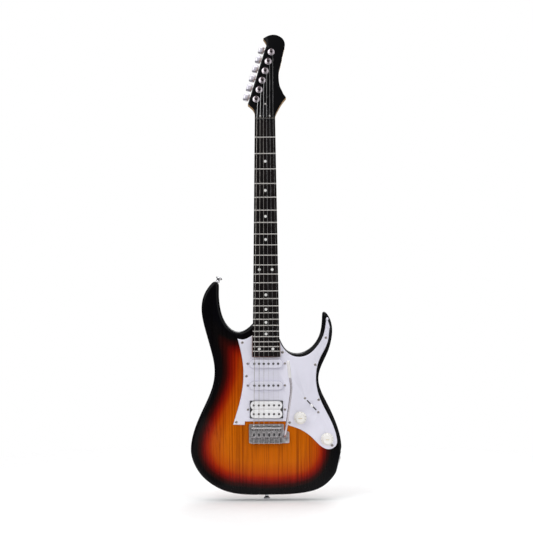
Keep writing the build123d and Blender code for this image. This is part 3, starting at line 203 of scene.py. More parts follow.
def string_finish(name, base, wound):
    """Plain wire, or wire wrapped in a fine winding."""
    material, tree, bsdf = new_material(name)
    tone = noise(tree, 500, stretch=(1, 1, 0.2))
    dark = tuple(c * 0.8 for c in base)
    tree.links.new(ramp(tree, tone, ((0.3, dark), (0.7, base))), bsdf.inputs["Base Color"])
    bsdf.inputs["Metallic"].default_value = 1.0
    bsdf.inputs["Roughness"].default_value = 0.28
    if wound:
        coord = node(tree, "ShaderNodeTexCoord")
        wave = node(tree, "ShaderNodeTexWave", Scale=620.0, Distortion=0.2)
        wave.bands_direction = "Z"
        tree.links.new(coord.outputs["Object"], wave.inputs["Vector"])
        relief(tree, bsdf, wave.outputs["Fac"], 0.0001, strength=0.8)
    else:
        relief(tree, bsdf, tone, 0.00001)
    return material


WOUND = string_finish("wound_string", (0.48, 0.46, 0.43), True)
PLAIN = string_finish("plain_string", (0.62, 0.62, 0.62), False)


def wood(name, dark, light, rough, bump, coat, gloss):
    """Wood with its grain along Z: a broad figure with fine streaks over it."""
    material, tree, bsdf = new_material(name)
    figure = noise(tree, 70.0, stretch=(1, 1, 0.06), detail=5.0, rough=0.6)
    streak = noise(tree, 900.0, stretch=(1, 1, 0.02), detail=3.0, rough=0.7)
    mix = node(tree, "ShaderNodeMix", data_type="FLOAT")
    share, first, second = (mix.inputs[k] for k in (0, 2, 3))  # those of plain numbers
    share.default_value = 0.45
    tree.links.new(figure, first)
    tree.links.new(streak, second)
    tree.links.new(ramp(tree, mix.outputs[0], ((0.36, dark), (0.66, light))), bsdf.inputs["Base Color"])
    tree.links.new(spread(tree, streak, rough * 0.8, rough * 1.25), bsdf.inputs["Roughness"])
    bsdf.inputs["Coat Weight"].default_value = coat
    bsdf.inputs["Coat Roughness"].default_value = 0.08
    bsdf.inputs["Specular IOR Level"].default_value = gloss
    relief(tree, bsdf, streak, bump)
    return material


MAPLE = wood(
    "maple", (0.56, 0.33, 0.15), (0.74, 0.50, 0.27),
    rough=0.38, bump=0.00003, coat=0.25, gloss=0.25,
)
BOARD = wood(
    "dark_board", (0.003, 0.0025, 0.003), (0.013, 0.0095, 0.0095),
    rough=0.42, bump=0.00012, coat=0.0, gloss=0.1,
)
BLACK_LACQUER = surface(
    "black_lacquer", (0.002, 0.002, 0.0025),
    rough=0.12, vary=0.3, scale=60, coat=0.09, gloss=0.06,
)
SHIELD_PAINT = surface("shield_paint", (0.02, 0.02, 0.02), rough=0.75, vary=0.3, scale=300, bump=0.0001)


def sunburst():
    """Black, red and amber over vertical grain, by the burst value stored at each point."""
    material, tree, bsdf = new_material("sunburst")
    attribute = node(tree, "ShaderNodeAttribute", attribute_name="burst")
    mottle = noise(tree, 14, stretch=(1, 1, 0.5), detail=3.0)
    shift = node(tree, "ShaderNodeMath", operation="MULTIPLY_ADD")
    tree.links.new(spread(tree, mottle, -0.5, 0.5), shift.inputs[0])
    shift.inputs[1].default_value = 0.045
    tree.links.new(attribute.outputs["Fac"], shift.inputs[2])
    stain = ramp(
        tree,
        shift.outputs[0],
        (
            (0.0, (0.002, 0.002, 0.003)),
            (0.14, (0.004, 0.003, 0.003)),
            (0.25, (0.035, 0.003, 0.002)),
            (0.35, (0.15, 0.004, 0.002)),
            (0.48, (0.33, 0.018, 0.001)),
            (0.63, (0.46, 0.065, 0.001)),
            (1.0, (0.55, 0.12, 0.001)),
        ),
    )
    broad = noise(tree, 26, stretch=(1, 1, 0.05), rough=0.6)
    streak = noise(tree, 300, stretch=(1, 1, 0.014), rough=0.75)
    fine = noise(tree, 900, stretch=(1, 1, 0.02), detail=2.0, rough=0.7)
    grain = node(tree, "ShaderNodeMath", operation="MULTIPLY")
    tree.links.new(spread(tree, broad, 0.82, 1.1, start=0.35, end=0.65), grain.inputs[0])
    tree.links.new(spread(tree, streak, 0.6, 1.1, start=0.36, end=0.56), grain.inputs[1])
    shade = ramp(tree, grain.outputs[0], ((0.35, (0.36, 0.26, 0.2)), (1.0, (1.0, 1.0, 1.0))))
    tint = node(tree, "ShaderNodeMix", data_type="RGBA", blend_type="MULTIPLY")
    share, first, second = (tint.inputs[k] for k in (0, 6, 7))  # those of colours
    share.default_value = 1.0
    tree.links.new(stain, first)
    tree.links.new(shade, second)
    tree.links.new(tint.outputs[2], bsdf.inputs["Base Color"])
    tree.links.new(spread(tree, fine, 0.2, 0.34), bsdf.inputs["Roughness"])
    bsdf.inputs["Specular IOR Level"].default_value = 0.06
    bsdf.inputs["Coat Weight"].default_value = 0.1
    bsdf.inputs["Coat Roughness"].default_value = 0.14
    relief(tree, bsdf, fine, 0.00001, strength=0.3)
    return material


SUNBURST = sunburst()


# ---------------------------------------------------------------- shared mesh tools
def link(name, data):
    """A new object in the scene."""
    obj = bpy.data.objects.new(name, data)
    bpy.context.scene.collection.objects.link(obj)
    return obj


def put(mesh, *materials):
    """Gives a mesh these materials and no others."""
    mesh.materials.clear()
    for material in materials:
        mesh.materials.append(material)


def smooth(mesh, angle=SMOOTH_ANGLE):
    """Shades a mesh smooth, apart from edges sharper than the angle in degrees."""
    mesh.polygons.foreach_set("use_smooth", [True] * len(mesh.polygons))
    mesh.set_sharp_from_angle(angle=math.radians(angle))


def from_bmesh(name, bm, materials=(), angle=SMOOTH_ANGLE):
    """Turns a finished bmesh into an object in the scene."""
    bmesh.ops.recalc_face_normals(bm, faces=bm.faces)
    mesh = bpy.data.meshes.new(name)
    bm.to_mesh(mesh)
    bm.free()
    put(mesh, *materials)
    smooth(mesh, angle)
    return link(name, mesh)


def spline(points, spacing):
    """Points about spacing apart on a natural cubic curve through the given ones."""
    given = np.array(points, float)
    count = len(given)
    chords = np.linalg.norm(np.diff(given, axis=0), axis=1)
    spans = np.diff(np.concatenate([[0], np.cumsum(np.sqrt(chords))]))
    system = np.zeros((count, count))
    right = np.zeros_like(given)
    for i in range(1, count - 1):
        before, after = spans[i - 1], spans[i]
        system[i, i - 1] = before
        system[i, i] = 2 * (before + after)
        system[i, i + 1] = after
        right[i] = 6 * ((given[i + 1] - given[i]) / after - (given[i] - given[i - 1]) / before)
    system[0, 0] = system[-1, -1] = 1
    curve = np.linalg.solve(system, right)
    out = []
    for i in range(count - 1):
        steps = max(2, int(round(np.linalg.norm(given[i + 1] - given[i]) / spacing)))
        span = spans[i]
        for k in range(steps):
            reach = k / steps * span
            a = (span - reach) / span
            b = reach / span
            bend = ((a**3 - a) * curve[i] + (b**3 - b) * curve[i + 1]) * span**2 / 6
            out.append(a * given[i] + b * given[i + 1] + bend)
    out.append(given[-1])
    return np.array(out)


def prism(name, outline, y0, y1):
    """Straight-sided solid over an (x, z) outline, from y0 to y1."""
    bm = bmesh.new()
    low = [bm.verts.new((x * MM, y0 * MM, z * MM)) for x, z in outline]
    high = [bm.verts.new((x * MM, y1 * MM, z * MM)) for x, z in outline]
    bm.faces.new(low)
    bm.faces.new(high)
    count = len(low)
    for i in range(count):
        j = (i + 1) % count
        bm.faces.new((low[i], low[j], high[j], high[i]))
    return from_bmesh(name, bm)


def rounded(centre_x, centre_z, width, height, radius, steps=6):
    """Outline of a rounded rectangle in (x, z)."""
    out = []
    for side_x, side_z, start in ((1, 1, 0), (-1, 1, 90), (-1, -1, 180), (1, -1, 270)):
        for k in range(steps + 1):
            angle = math.radians(start + 90 * k / steps)
            x = side_x * (width / 2 - radius) + radius * math.cos(angle)
            z = side_z * (height / 2 - radius) + radius * math.sin(angle)
            out.append((centre_x + x, centre_z + z))
    return out


def lathe(bm, matrix, outline, sides, flute=None):
    """Adds a turned shape about the matrix's z axis, from an (r, z) outline.

    flute(angle, z) is how far the surface is cut back there.
    """
    rings = []
    for r, z in outline:
        if r == 0:
            rings.append([bm.verts.new(matrix @ Vector((0, 0, z * MM)))])
            continue
        ring = []
        for k in range(sides):
            angle = 2 * math.pi * k / sides
            radius = (r - flute(angle, z) if flute else r) * MM
            point = Vector((radius * math.cos(angle), radius * math.sin(angle), z * MM))
            ring.append(bm.verts.new(matrix @ point))
        rings.append(ring)
    for a, b in zip(rings, rings[1:]):
        for k in range(sides):
            j = (k + 1) % sides
            corners = (a[k % len(a)], a[j % len(a)], b[j % len(b)], b[k % len(b)])
            bm.faces.new(list(dict.fromkeys(corners)))


def cut(obj, cutters):
    """Takes the cutters out of obj and deletes them."""
    for cutter in cutters:
        modifier = obj.modifiers.new("cut", "BOOLEAN")
        modifier.operation = "DIFFERENCE"
        modifier.solver = "EXACT"
        modifier.object = cutter
        bpy.context.view_layer.update()
        result = obj.evaluated_get(bpy.context.evaluated_depsgraph_get())
        made = bpy.data.meshes.new_from_object(result)
        obj.modifiers.clear()
        obj.data = made
        bpy.data.objects.remove(cutter)


FLAT_ANGLE = math.radians(1.0)
SHARP_ANGLE = math.radians(38)


def remodel(name, materials, width, segments=2):
    """A copy of a CAD node with flat faces merged and sharp edges bevelled, in the node's place."""
    source = nodes[name]
    bm = bmesh.new()
    bm.from_mesh(source.data)
    bmesh.ops.remove_doubles(bm, verts=bm.verts, dist=1e-6)
    bmesh.ops.dissolve_degenerate(bm, edges=bm.edges, dist=1e-7)
    bmesh.ops.dissolve_limit(bm, angle_limit=FLAT_ANGLE, verts=bm.verts, edges=bm.edges)
    sharp = [edge for edge in bm.edges if edge.is_manifold and edge.calc_face_angle(0) > SHARP_ANGLE]
    bmesh.ops.bevel(
        bm,
        geom=sharp,
        offset=width * MM,
        segments=segments,
        profile=0.5,
        affect="EDGES",
        clamp_overlap=True,
    )
    mesh = bpy.data.meshes.new(name + "_v")
    bm.to_mesh(mesh)
    bm.free()
    put(mesh, *materials)
    smooth(mesh)
    obj = link(name + "_v", mesh)
    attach(obj, source["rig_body"])
    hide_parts(name)
    return obj


def paint(obj, in_second):
    """Gives the second material to the faces that in_second(x, y, z, normal) picks."""
    for poly in obj.data.polygons:
        x, y, z = poly.center / MM
        if in_second(x, y, z, poly.normal):
            poly.material_index = 1


# ---------------------------------------------------------------- body
# (x, z) anticlockwise from the left edge of the neck pocket to its right edge
OUTLINE = (
    (-24.5, 364.5), (-40, 349.9), (-58, 343.1), (-76, 350.7), (-88.5, 367), (-96.4, 390),
    (-99.8, 420), (-99.6, 438), (-101.3, 446.6), (-107.5, 450.2), (-114, 446.8), (-121, 438.6),
    (-129.3, 425), (-135.2, 404), (-135, 380), (-128.6, 350), (-116.2, 305), (-109.3, 268),
    (-113.4, 230), (-131.9, 185), (-151.3, 140), (-160.2, 95), (-153.3, 65), (-132, 34.5),
    (-90, 9), (-45, 0.6), (0, 0), (45, 0.8), (90, 6.1), (120.6, 18.6), (148.2, 50),
    (158, 95), (150.5, 140), (131.8, 185), (117, 215), (110, 245), (117.9, 275),
    (131.6, 305), (138.9, 335), (139.2, 354), (135.2, 370), (129.2, 380.5), (124.6, 384.8),
    (120.8, 384), (119.3, 377.5), (118.2, 360), (113.4, 336), (98.1, 312), (76, 298.7),
    (56, 298.2), (40, 307.5), (29.6, 326), (25.2, 334),
)
OUTLINE_STEP = 2.0
POCKET_CORNER = (24.0, 346.0)
EDGE_ROUND = 6.0
EDGE_RINGS = 7  # rows of points over the rounded edge
FULL_RINGS = 4  # the others have every second point
SIDE_ROWS = 4  # rows of faces round the sides
GRID = 4.0
FOREARM_BALL = (-185, 75, 698.0)  # x and z of the centre, and the radius
FOREARM_AHEAD = 690  # how far in front of the face the centre is
BELLY_BALL = (-165, 235, 480.0)
BELLY_BEHIND = 465  # how far behind the back the centre is
BODY_SMOOTH_ANGLE = 40

NUT_HALF_WIDTH = 21.5
NECK_FLARE = 7  # how much wider each side of the neck is at its end
NECK_TOP = 789.5
NECK_LENGTH = 497
POCKET_CLEARANCE = 0.1
POCKET_Z = (292.4, 380.0)
POCKET_DEPTH = 16
PICKUP_DEPTH = 18
CONTROL_DEPTH = 36
SPRING_FLOOR = 4  # y of the bottom of the routes in the back
ABOVE = FRONT - 4  # where cutters start in front of the body
BEHIND = 25  # where cutters end behind the body
SINGLE_COIL_ROUTE = (96, 22, 10.9)  # width, height and corner radius
HUMBUCKER_ROUTE = (92, 42, 6)
CONTROL_ROUTE = (
    (55, 156), (70, 146), (88, 139), (104, 124), (117, 105.5), (131, 101.2), (141, 105.5), (144.5, 118),
    (140, 136), (120, 172), (104, 192), (101, 214), (86, 216), (70, 205), (55, 178),
)
BLOCK_ROUTE = ((-35, 111), (44, 111), (44, 132.4), (35, 132.4), (35, 137.5), (-35, 137.5))
JACK_POINT = (154.2, 0, 72)
JACK_ANGLE = math.radians(-12)
JACK_SUNK = 2.4
JACK_SEAT = (70, 70, 12)
JACK_HOLE_RADIUS = 10.5
JACK_HOLE_DEPTH = 60

BURST_SPREAD = 1.32
BURST_WIDTH = 75
ROUTE_WALL = 7  # the paint stays further than this from the outline
SKIN = 0.6  # and this far inside the face and the back


def distance(points, outline, batch=4000):
    """Distance from each point to a closed outline."""
    side = np.roll(outline, -1, axis=0) - outline
    length = np.maximum((side * side).sum(1), 1e-12)
    nearest = np.zeros(len(points))
    for start in range(0, len(points), batch):
        offset = points[start:start + batch, None, :] - outline
        along = np.clip((offset * side).sum(2) / length, 0, 1)
        gap = points[start:start + batch, None, :] - (outline + along[:, :, None] * side)
        nearest[start:start + batch] = np.sqrt((gap * gap).sum(2)).min(1)
    return nearest


def soft_distance(points, outline, blur=9.0, batch=4000):
    """Distance to the outline with its ridges smoothed away, as a spray gun leaves it."""
    length = np.linalg.norm(np.roll(outline, -1, axis=0) - outline, axis=1)
    total = np.zeros(len(points))
    for start in range(0, len(points), batch):
        gap = points[start:start + batch, None, :] - outline
        reach = np.sqrt((gap * gap).sum(2))
        total[start:start + batch] = (np.exp(-reach / blur) * length).sum(1)
    return -blur * np.log(np.maximum(total / (2 * blur), 1e-12))


def inside(points, outline):
    """Whether each point is inside a closed outline."""
    hit = np.zeros(len(points), bool)
    x, z = points[:, 0], points[:, 1]
    for (x0, z0), (x1, z1) in zip(outline, np.roll(outline, -1, axis=0)):
        if z0 != z1:
            crosses = (z0 > z) != (z1 > z)
            hit ^= crosses & (x < (x1 - x0) * (z - z0) / (z1 - z0) + x0)
    return hit


def ball(x, z, centre_x, centre_z, radius):
    """Height of a ball's surface over its centre, and 0 beyond it."""
    across = (x - centre_x) ** 2 + (z - centre_z) ** 2
    return np.sqrt(np.maximum(radius**2 - across, 0))


def soft_positive(height, sharpness=1.2):
    """The height where it is positive and 0 where it isn't, with a soft change between."""
    return np.logaddexp(0, height * sharpness) / sharpness


def front_face(x, z):
    """y of the body's face: flat, with the shallow forearm slope at the lower left."""
    slope = FRONT - FOREARM_AHEAD + ball(x, z, *FOREARM_BALL)
    return FRONT + soft_positive(slope - FRONT)


def back_face(x, z):
    """y of the back: flat, with the belly cut behind the bass waist."""
    scoop = -FRONT + BELLY_BEHIND - ball(x, z, *BELLY_BALL)
    return -FRONT - soft_positive(-FRONT - scoop)


def face_points(outline):
    """The outline, rings over its rounded edge and a staggered grid, as (x, z) points."""
    along = np.roll(outline, -1, axis=0) - np.roll(outline, 1, axis=0)
    along /= np.linalg.norm(along, axis=1)[:, None]
    inward = np.stack([-along[:, 1], along[:, 0]], 1)
    rows = [outline]
    for k in range(1, EDGE_RINGS + 1):
        depth = EDGE_ROUND * (1 - math.cos(math.radians(90 * k / EDGE_RINGS)))
        ring = (outline + inward * depth)[:: 1 if k <= FULL_RINGS else 2]
        keep = inside(ring, outline) & (distance(ring, outline) > depth * 0.985)
        rows.append(ring[keep])
    x, z = np.meshgrid(np.arange(-160, 160, GRID), np.arange(0, 452, GRID))
    x = x + (np.round(z / GRID) % 2) * GRID / 2
    grid = np.stack([x.ravel(), z.ravel()], 1)
    grid = grid[inside(grid, outline)]
    rows.append(grid[distance(grid, outline) > EDGE_ROUND + 1.6])
    return np.vstack(rows)


def body_blank(outline):
    """The body before its routing: two faces with rounded edges, and the sides between them."""
    count = len(outline)
    border = [(i, (i + 1) % count) for i in range(count)]
    points = [Vector(p) for p in face_points(outline)]
    verts, _, faces, origins, _, _ = delaunay_2d_cdt(points, border, [], 1, 1e-5)
    flat = np.array([tuple(v) for v in verts])
    rim = {old: new for new, found in enumerate(origins) for old in found if old < count}
    depth = np.minimum(distance(flat, outline), EDGE_ROUND)
    drop = EDGE_ROUND - np.sqrt(np.maximum(EDGE_ROUND**2 - (EDGE_ROUND - depth) ** 2, 0))
    x, z = flat[:, 0], flat[:, 1]
    bm = bmesh.new()
    front, back = (
        [bm.verts.new((px * MM, py * MM, pz * MM)) for px, py, pz in zip(x, y, z)]
        for y in (front_face(x, z) + drop, back_face(x, z) - drop)
    )
    for face in faces:
        bm.faces.new([front[i] for i in face])
        bm.faces.new([back[i] for i in reversed(face)])
    edges = [(front[rim[i]], back[rim[i]]) for i in range(count)]
    levels = [[start for start, end in edges]]
    for k in range(1, SIDE_ROWS):
        levels.append([bm.verts.new(start.co.lerp(end.co, k / SIDE_ROWS)) for start, end in edges])
    levels.append([end for start, end in edges])
    for a, b in zip(levels, levels[1:]):
        for i in range(count):
            j = (i + 1) % count
            bm.faces.new((a[i], a[j], b[j], b[i]))
    return from_bmesh("body_v", bm, (SUNBURST, SHIELD_PAINT), BODY_SMOOTH_ANGLE)


def pocket_half(z):
    """Half the neck pocket's width, which follows the neck's taper."""
    return NUT_HALF_WIDTH + NECK_FLARE * (NECK_TOP - z) / NECK_LENGTH + POCKET_CLEARANCE


def route_cutters():
    """What the neck pocket and the pickup, control and vibrato routes take out of the body."""
    low, high = POCKET_Z
    wide, narrow = pocket_half(low), pocket_half(high)
    pocket = ((-wide, low), (wide, low), (narrow, high), (-narrow, high))
    routes = (
        (pocket, ABOVE, FRONT + POCKET_DEPTH),
        (rounded(0, NECK_PICKUP_Z, *SINGLE_COIL_ROUTE), ABOVE, FRONT + PICKUP_DEPTH),
        (rounded(0, MIDDLE_PICKUP_Z, *SINGLE_COIL_ROUTE), ABOVE, FRONT + PICKUP_DEPTH),
        (rounded(0, HUMBUCKER_Z, *HUMBUCKER_ROUTE), ABOVE, FRONT + PICKUP_DEPTH),
        (CONTROL_ROUTE, ABOVE, FRONT + CONTROL_DEPTH),
        (BLOCK_ROUTE, ABOVE, BEHIND),
        (rounded(0, 172, 60, 136, 5), SPRING_FLOOR, BEHIND),
        (rounded(3.5, 121, 83, 34, 5), SPRING_FLOOR + 0.02, BEHIND),
    )
    return [prism("route", *route) for route in routes]


def jack_cutters():
    """The flat seat of the jack plate on the body's edge, and the hole behind it."""
    out = Vector((math.cos(JACK_ANGLE), 0, math.sin(JACK_ANGLE)))
    sunk = Vector(JACK_POINT) - out * JACK_SUNK
    place = Matrix.Translation(sunk * MM) @ out.to_track_quat("Z", "Y").to_matrix().to_4x4()
    middle = place @ Matrix.Translation((0, 0, JACK_SEAT[2] / 2 * MM))
    size = Matrix.Diagonal((*(side * MM for side in JACK_SEAT), 1))
    seat = bmesh.new()
    bmesh.ops.create_cube(seat, size=1.0, matrix=middle @ size)
    hole = bmesh.new()
    bmesh.ops.create_cone(
        hole,
        cap_ends=True,
        segments=48,
        radius1=JACK_HOLE_RADIUS * MM,
        radius2=JACK_HOLE_RADIUS * MM,
        depth=JACK_HOLE_DEPTH * MM,
        matrix=place @ Matrix.Translation((0, 0, -10 * MM)),
    )
    return [from_bmesh("seat", seat), from_bmesh("hole", hole)]


def rise(value, middle, width):
    """Goes from 0 to 2 around the middle."""
    return 1 + np.tanh((value - middle) / width)


def fall(value, middle, width):
    """Goes from 2 to 0 around the middle."""
    return 1 - np.tanh((value - middle) / width)


def paint_body(mesh, outline):
    """Stores how far into the burst each point is, and coats the routed faces in shield paint."""
    points = np.zeros(len(mesh.vertices) * 3)
    mesh.vertices.foreach_get("co", points)
    points = points.reshape(-1, 3) / MM
    depth = soft_distance(points[:, [0, 2]], outline) * BURST_SPREAD
    x, z = points[:, 0], points[:, 2]
    # The dark edge is wider in the horn and at the lower right, and a little narrower on the left.
    horn = rise(z, 375, 28) * fall(x, -45, 25) * 5
    left = fall(x, -90, 30) * -1.0
    right = rise(x, 95, 30) * fall(z, 110, 40) * 3.0
    # The upper left is redder.
    shoulder = rise(z, 235, 50) * fall(x, 20, 30) * 0.075
    burst = np.clip((depth - horn - left - right) / BURST_WIDTH * (1 - shoulder), 0, 1)
    layer = mesh.attributes.new("burst", "FLOAT", "POINT")
    layer.data.foreach_set("value", burst.astype(np.float32))
    centre = np.zeros(len(mesh.polygons) * 3)
    mesh.polygons.foreach_get("center", centre)
    x, y, z = centre.reshape(-1, 3).T / MM
    middle = np.stack([x, z], 1)
    within = distance(middle, outline) * inside(middle, outline) > ROUTE_WALL
    routed = within & (y > front_face(x, z) + SKIN) & (y < back_face(x, z) - SKIN)
    mesh.polygons.foreach_set("material_index", routed.astype(np.int32))


def build_body():
    """The routed and painted body."""
    outline = np.vstack([spline(OUTLINE, OUTLINE_STEP), [POCKET_CORNER]])
    body = body_blank(outline)
    cut(body, route_cutters() + jack_cutters())
    put(body.data, SUNBURST, SHIELD_PAINT)
    paint_body(body.data, outline)
    smooth(body.data, BODY_SMOOTH_ANGLE)
    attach(body, "guitar")
    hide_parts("body")


build_body()


# ---------------------------------------------------------------- neck and headstock
HEAD_TILT = math.radians(13.0)
HEAD_START = 794.5  # z where the headstock's face leaves the nut
HEAD_AHEAD = 4  # how far in front of the body that face starts
LACQUER_DEPTH = 0.9  # from the face, down the head's edge

neck = remodel("neck", (MAPLE, BLACK_LACQUER), 0.7, segments=3)
head_normal = Vector((0, -math.cos(HEAD_TILT), math.sin(HEAD_TILT)))
head_origin = Vector((0, (FRONT - HEAD_AHEAD) * MM, HEAD_START * MM))


def on_head_face(x, y, z, normal):
    """Whether a point is on the headstock's face or in its edge, which are lacquered."""
    height = (Vector((x, y, z)) - head_origin / MM).dot(head_normal)
    return z > HEAD_START + 0.7 and abs(height) < LACQUER_DEPTH and normal.dot(head_normal) > 0.2


paint(neck, on_head_face)


# ---------------------------------------------------------------- strings
RADII = (0.58, 0.46, 0.33, 0.22, 0.17, 0.13)  # from the bass side
WOUND_STRINGS = 3
STRING_STEPS = 60
SADDLE_PITCH = 10.63
SADDLE_Z = 141.5
SADDLE_HEIGHT = 14.6  # of the strings' undersides over the body's face
NUT_PITCH = 6.8
NUT_Z = 794.0
NUT_HEIGHT = 11.2


def tube(name, points, radius, material, sides=10):
    """Round wire along a list of points."""
    bm = bmesh.new()
    path = [Vector(p) * MM for p in points]
    rings = []
    across = Vector((1, 0, 0))
    for k, point in enumerate(path):
        way = (path[min(k + 1, len(path) - 1)] - path[max(k - 1, 0)]).normalized()
        across = (across - way * across.dot(way)).normalized()
        up = way.cross(across)
        ring = []
        for s in range(sides):
            angle = 2 * math.pi * s / sides
            offset = (across * math.cos(angle) + up * math.sin(angle)) * radius * MM
            ring.append(bm.verts.new(point + offset))
        rings.append(ring)
    for a, b in zip(rings, rings[1:]):
        for s in range(sides):
            t = (s + 1) % sides
            bm.faces.new((a[s], a[t], b[t], b[s]))
    bm.faces.new(rings[0])
    bm.faces.new(rings[-1])
    return from_bmesh(name, bm, (material,), angle=50)


for i, radius in enumerate(RADII):
    place = i - (len(RADII) - 1) / 2
    saddle = Vector((place * SADDLE_PITCH, FRONT - SADDLE_HEIGHT - radius, SADDLE_Z))
    top = Vector((place * NUT_PITCH, FRONT - NUT_HEIGHT - radius, NUT_Z))
    line = [saddle.lerp(top, k / STRING_STEPS) for k in range(STRING_STEPS + 1)]
    string = tube(f"string_{i + 1}", line, radius, WOUND if i < WOUND_STRINGS else PLAIN)
    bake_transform(string)
    if i == 0:
        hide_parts("strings")

# ---------------------------------------------------------------- pieces that keep their CAD mesh
for name, material in (
    ("fretboard", BOARD),
    ("frets", NICKEL),
    ("position_markers", PEARL),
    ("nut", BLACK),
    ("strings_at_head", PLAIN),
    ("string_tails", PLAIN),
    ("truss_rod", STEEL),
    ("truss_rod_cover", BLACK),
    ("pickup_coils", FIBRE),
    ("pickup_tubes", TUBING),
    ("pole_pieces", DARK_STEEL_AND_SHADE),
    ("humbucker_magnet", DARK_STEEL_AND_SHADE),
    ("humbucker_baseplate", STEEL),
    ("switch_frame", STEEL),
    ("pot_housings", STEEL),
    ("intonation_springs", STEEL),
):
    put(nodes[name].data, material)

# ---------------------------------------------------------------- pieces with softened edges
for name, material, width in (
    ("single_coil_covers", COVER, 0.15),
    ("single_coil_bobbins", FIBRE, 0.1),
    ("arm_tip", TIP, 0.2),
    ("switch_tip", WHITE, 0.2),
    ("spring_cover", PLASTIC_GUARD, 0.15),
    ("spring_claw", STEEL, 0.2),
    ("switch_lever", STEEL, 0.1),
    ("tremolo_block", ZINC, 0.5),
    ("saddle_screws", DARK_STEEL_AND_SHADE, 0.08),
    ("bridge_screws", BRIDGE, 0.08),
    ("pivot_screws", BRIDGE, 0.1),
    ("machine_screws", SCREW, 0.08),
    ("wood_screws", CHROME, 0.1),
    ("control_nuts", NICKEL, 0.15),
    ("jack_plate", CHROME, 0.1),
    ("jack_socket", NICKEL, 0.1),
    ("tuner_bushings", WASHER, 0.2),
    ("tuner_housings", CHROME, 0.5),
    ("strap_buttons", CHROME, 0.3),
    ("neck_plate", CHROME, 0.2),
    ("trem_arm", ARM_METAL, 0.1),
    *((f"tuner_post_{k}", POST, 0.12) for k in range(1, 7)),
):
    remodel(name, (material,), width)


# ---------------------------------------------------------------- pieces in two tones
def sliced(name, materials, width, cuts):
    """A remodelled node with extra edges where planes, as (point, normal), cross it."""
    obj = remodel(name, materials, width)
    bm = bmesh.new()
    bm.from_mesh(obj.data)
    for point, normal in cuts:
        geom = bm.verts[:] + bm.edges[:] + bm.faces[:]
        bmesh.ops.bisect_plane(bm, geom=geom, plane_co=Vector(point) * MM, plane_no=normal, dist=1e-7)
    bm.to_mesh(obj.data)
    bm.free()
    smooth(obj.data)
    return obj


# The pickguard's dark middle ply shows in its edges.
PLY_TOP = FRONT - 1.25
PLY_LOW = FRONT - 0.7
guard_cuts = [((0, y, 0), (0, 1, 0)) for y in (PLY_LOW, PLY_TOP)]
guard = sliced("pickguard", (PLASTIC_GUARD, PLIES), 0.1, guard_cuts)
paint(guard, lambda x, y, z, normal: PLY_TOP < y < PLY_LOW and abs(normal.y) < 0.95)

# The tremolo plate gets painted shade under the saddles' screws and springs.
SHADE_LOW = 123.6
SHADE_HIGH = 140.5
SHADE_SIDE = 31
plate_cuts = [((0, 0, z), (0, 0, 1)) for z in (SHADE_LOW, SHADE_HIGH)]
plate_cuts += [((x, 0, 0), (1, 0, 0)) for x in (-SHADE_SIDE, SHADE_SIDE)]
plate = sliced("tremolo_plate", (BRIDGE, DARK_STEEL_AND_SHADE), 0.25, plate_cuts)
paint(plate, lambda x, y, z, normal: abs(x) < SHADE_SIDE and SHADE_LOW < z < SHADE_HIGH)

# Each saddle gets painted shade on its back and inside its string slot.
SLOT_HALF_WIDTH = 1.75
SLOT_HALF_LENGTH = 4.0
SLOT_Z = 128.2


def in_saddle_shade(x, y, z, normal):
    """Whether a point is on a saddle's back or in the slot under its string, where painted shade goes."""
    string_x = (round(x / SADDLE_PITCH - 0.5) + 0.5) * SADDLE_PITCH
    in_slot = abs(x - string_x) < SLOT_HALF_WIDTH and abs(z - SLOT_Z) < SLOT_HALF_LENGTH
    return normal.y > 0.3 or (in_slot and abs(normal.y) < 0.5)


saddles = remodel("saddles", (BRIDGE, DARK_STEEL_AND_SHADE), 0.2)
paint(saddles, in_saddle_shade)

# The humbucker's two bobbins meet in a hairline instead of the solids' clearance.
HAIRLINE_HALF = 0.04
INNER_EDGE_REACH = 1.6
bobbins = remodel("humbucker_bobbins", (WHITE,), 0.15)
for vertex in bobbins.data.vertices:
    off = vertex.co.z / MM - HUMBUCKER_Z
    if abs(off) < INNER_EDGE_REACH:
        vertex.co.z = (HUMBUCKER_Z + math.copysign(HAIRLINE_HALF, off)) * MM

# The screws on the headstock are brighter than those in the body.
HEAD_SCREWS_Z = 780
screws = remodel("small_screws", (SCREW, NICKEL), 0.08)
paint(screws, lambda x, y, z, normal: z > HEAD_SCREWS_Z)

# ---------------------------------------------------------------- tremolo springs
SPRING_X = (-12.0, 0.0, 12.0)
SPRING_Y = 13.0
BLOCK_END = 131.5
CLAW_END = 221.0
SPRING_WIRE = 0.5
COIL_RADIUS = 3.6
COIL_START = 138.5
COIL_LENGTH = 78.0
COIL_END = COIL_START + COIL_LENGTH
COIL_TURNS = 26
COIL_STEPS = 14  # points in one turn


def spring_line(x):
    """The spring's centre line: a straight end, the coil and a straight end."""
    aside = x + COIL_RADIUS / 2
    line = [(x, SPRING_Y, BLOCK_END), (x, SPRING_Y, BLOCK_END + 2.5), (aside, SPRING_Y, COIL_START - 2.1)]
    points = COIL_TURNS * COIL_STEPS
    for k in range(points + 1):
        angle = 2 * math.pi * k / COIL_STEPS
        y = SPRING_Y + COIL_RADIUS * math.sin(angle)
        line.append((x + COIL_RADIUS * math.cos(angle), y, COIL_START + COIL_LENGTH * k / points))
    return line + [(aside, SPRING_Y, COIL_END + 2.3), (x, SPRING_Y, CLAW_END)]


for k, x in enumerate(SPRING_X):
    spring = tube(f"trem_spring_{k + 1}", spring_line(x), SPRING_WIRE, STEEL, sides=8)
    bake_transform(spring)
    if k == 0:
        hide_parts("trem_springs")

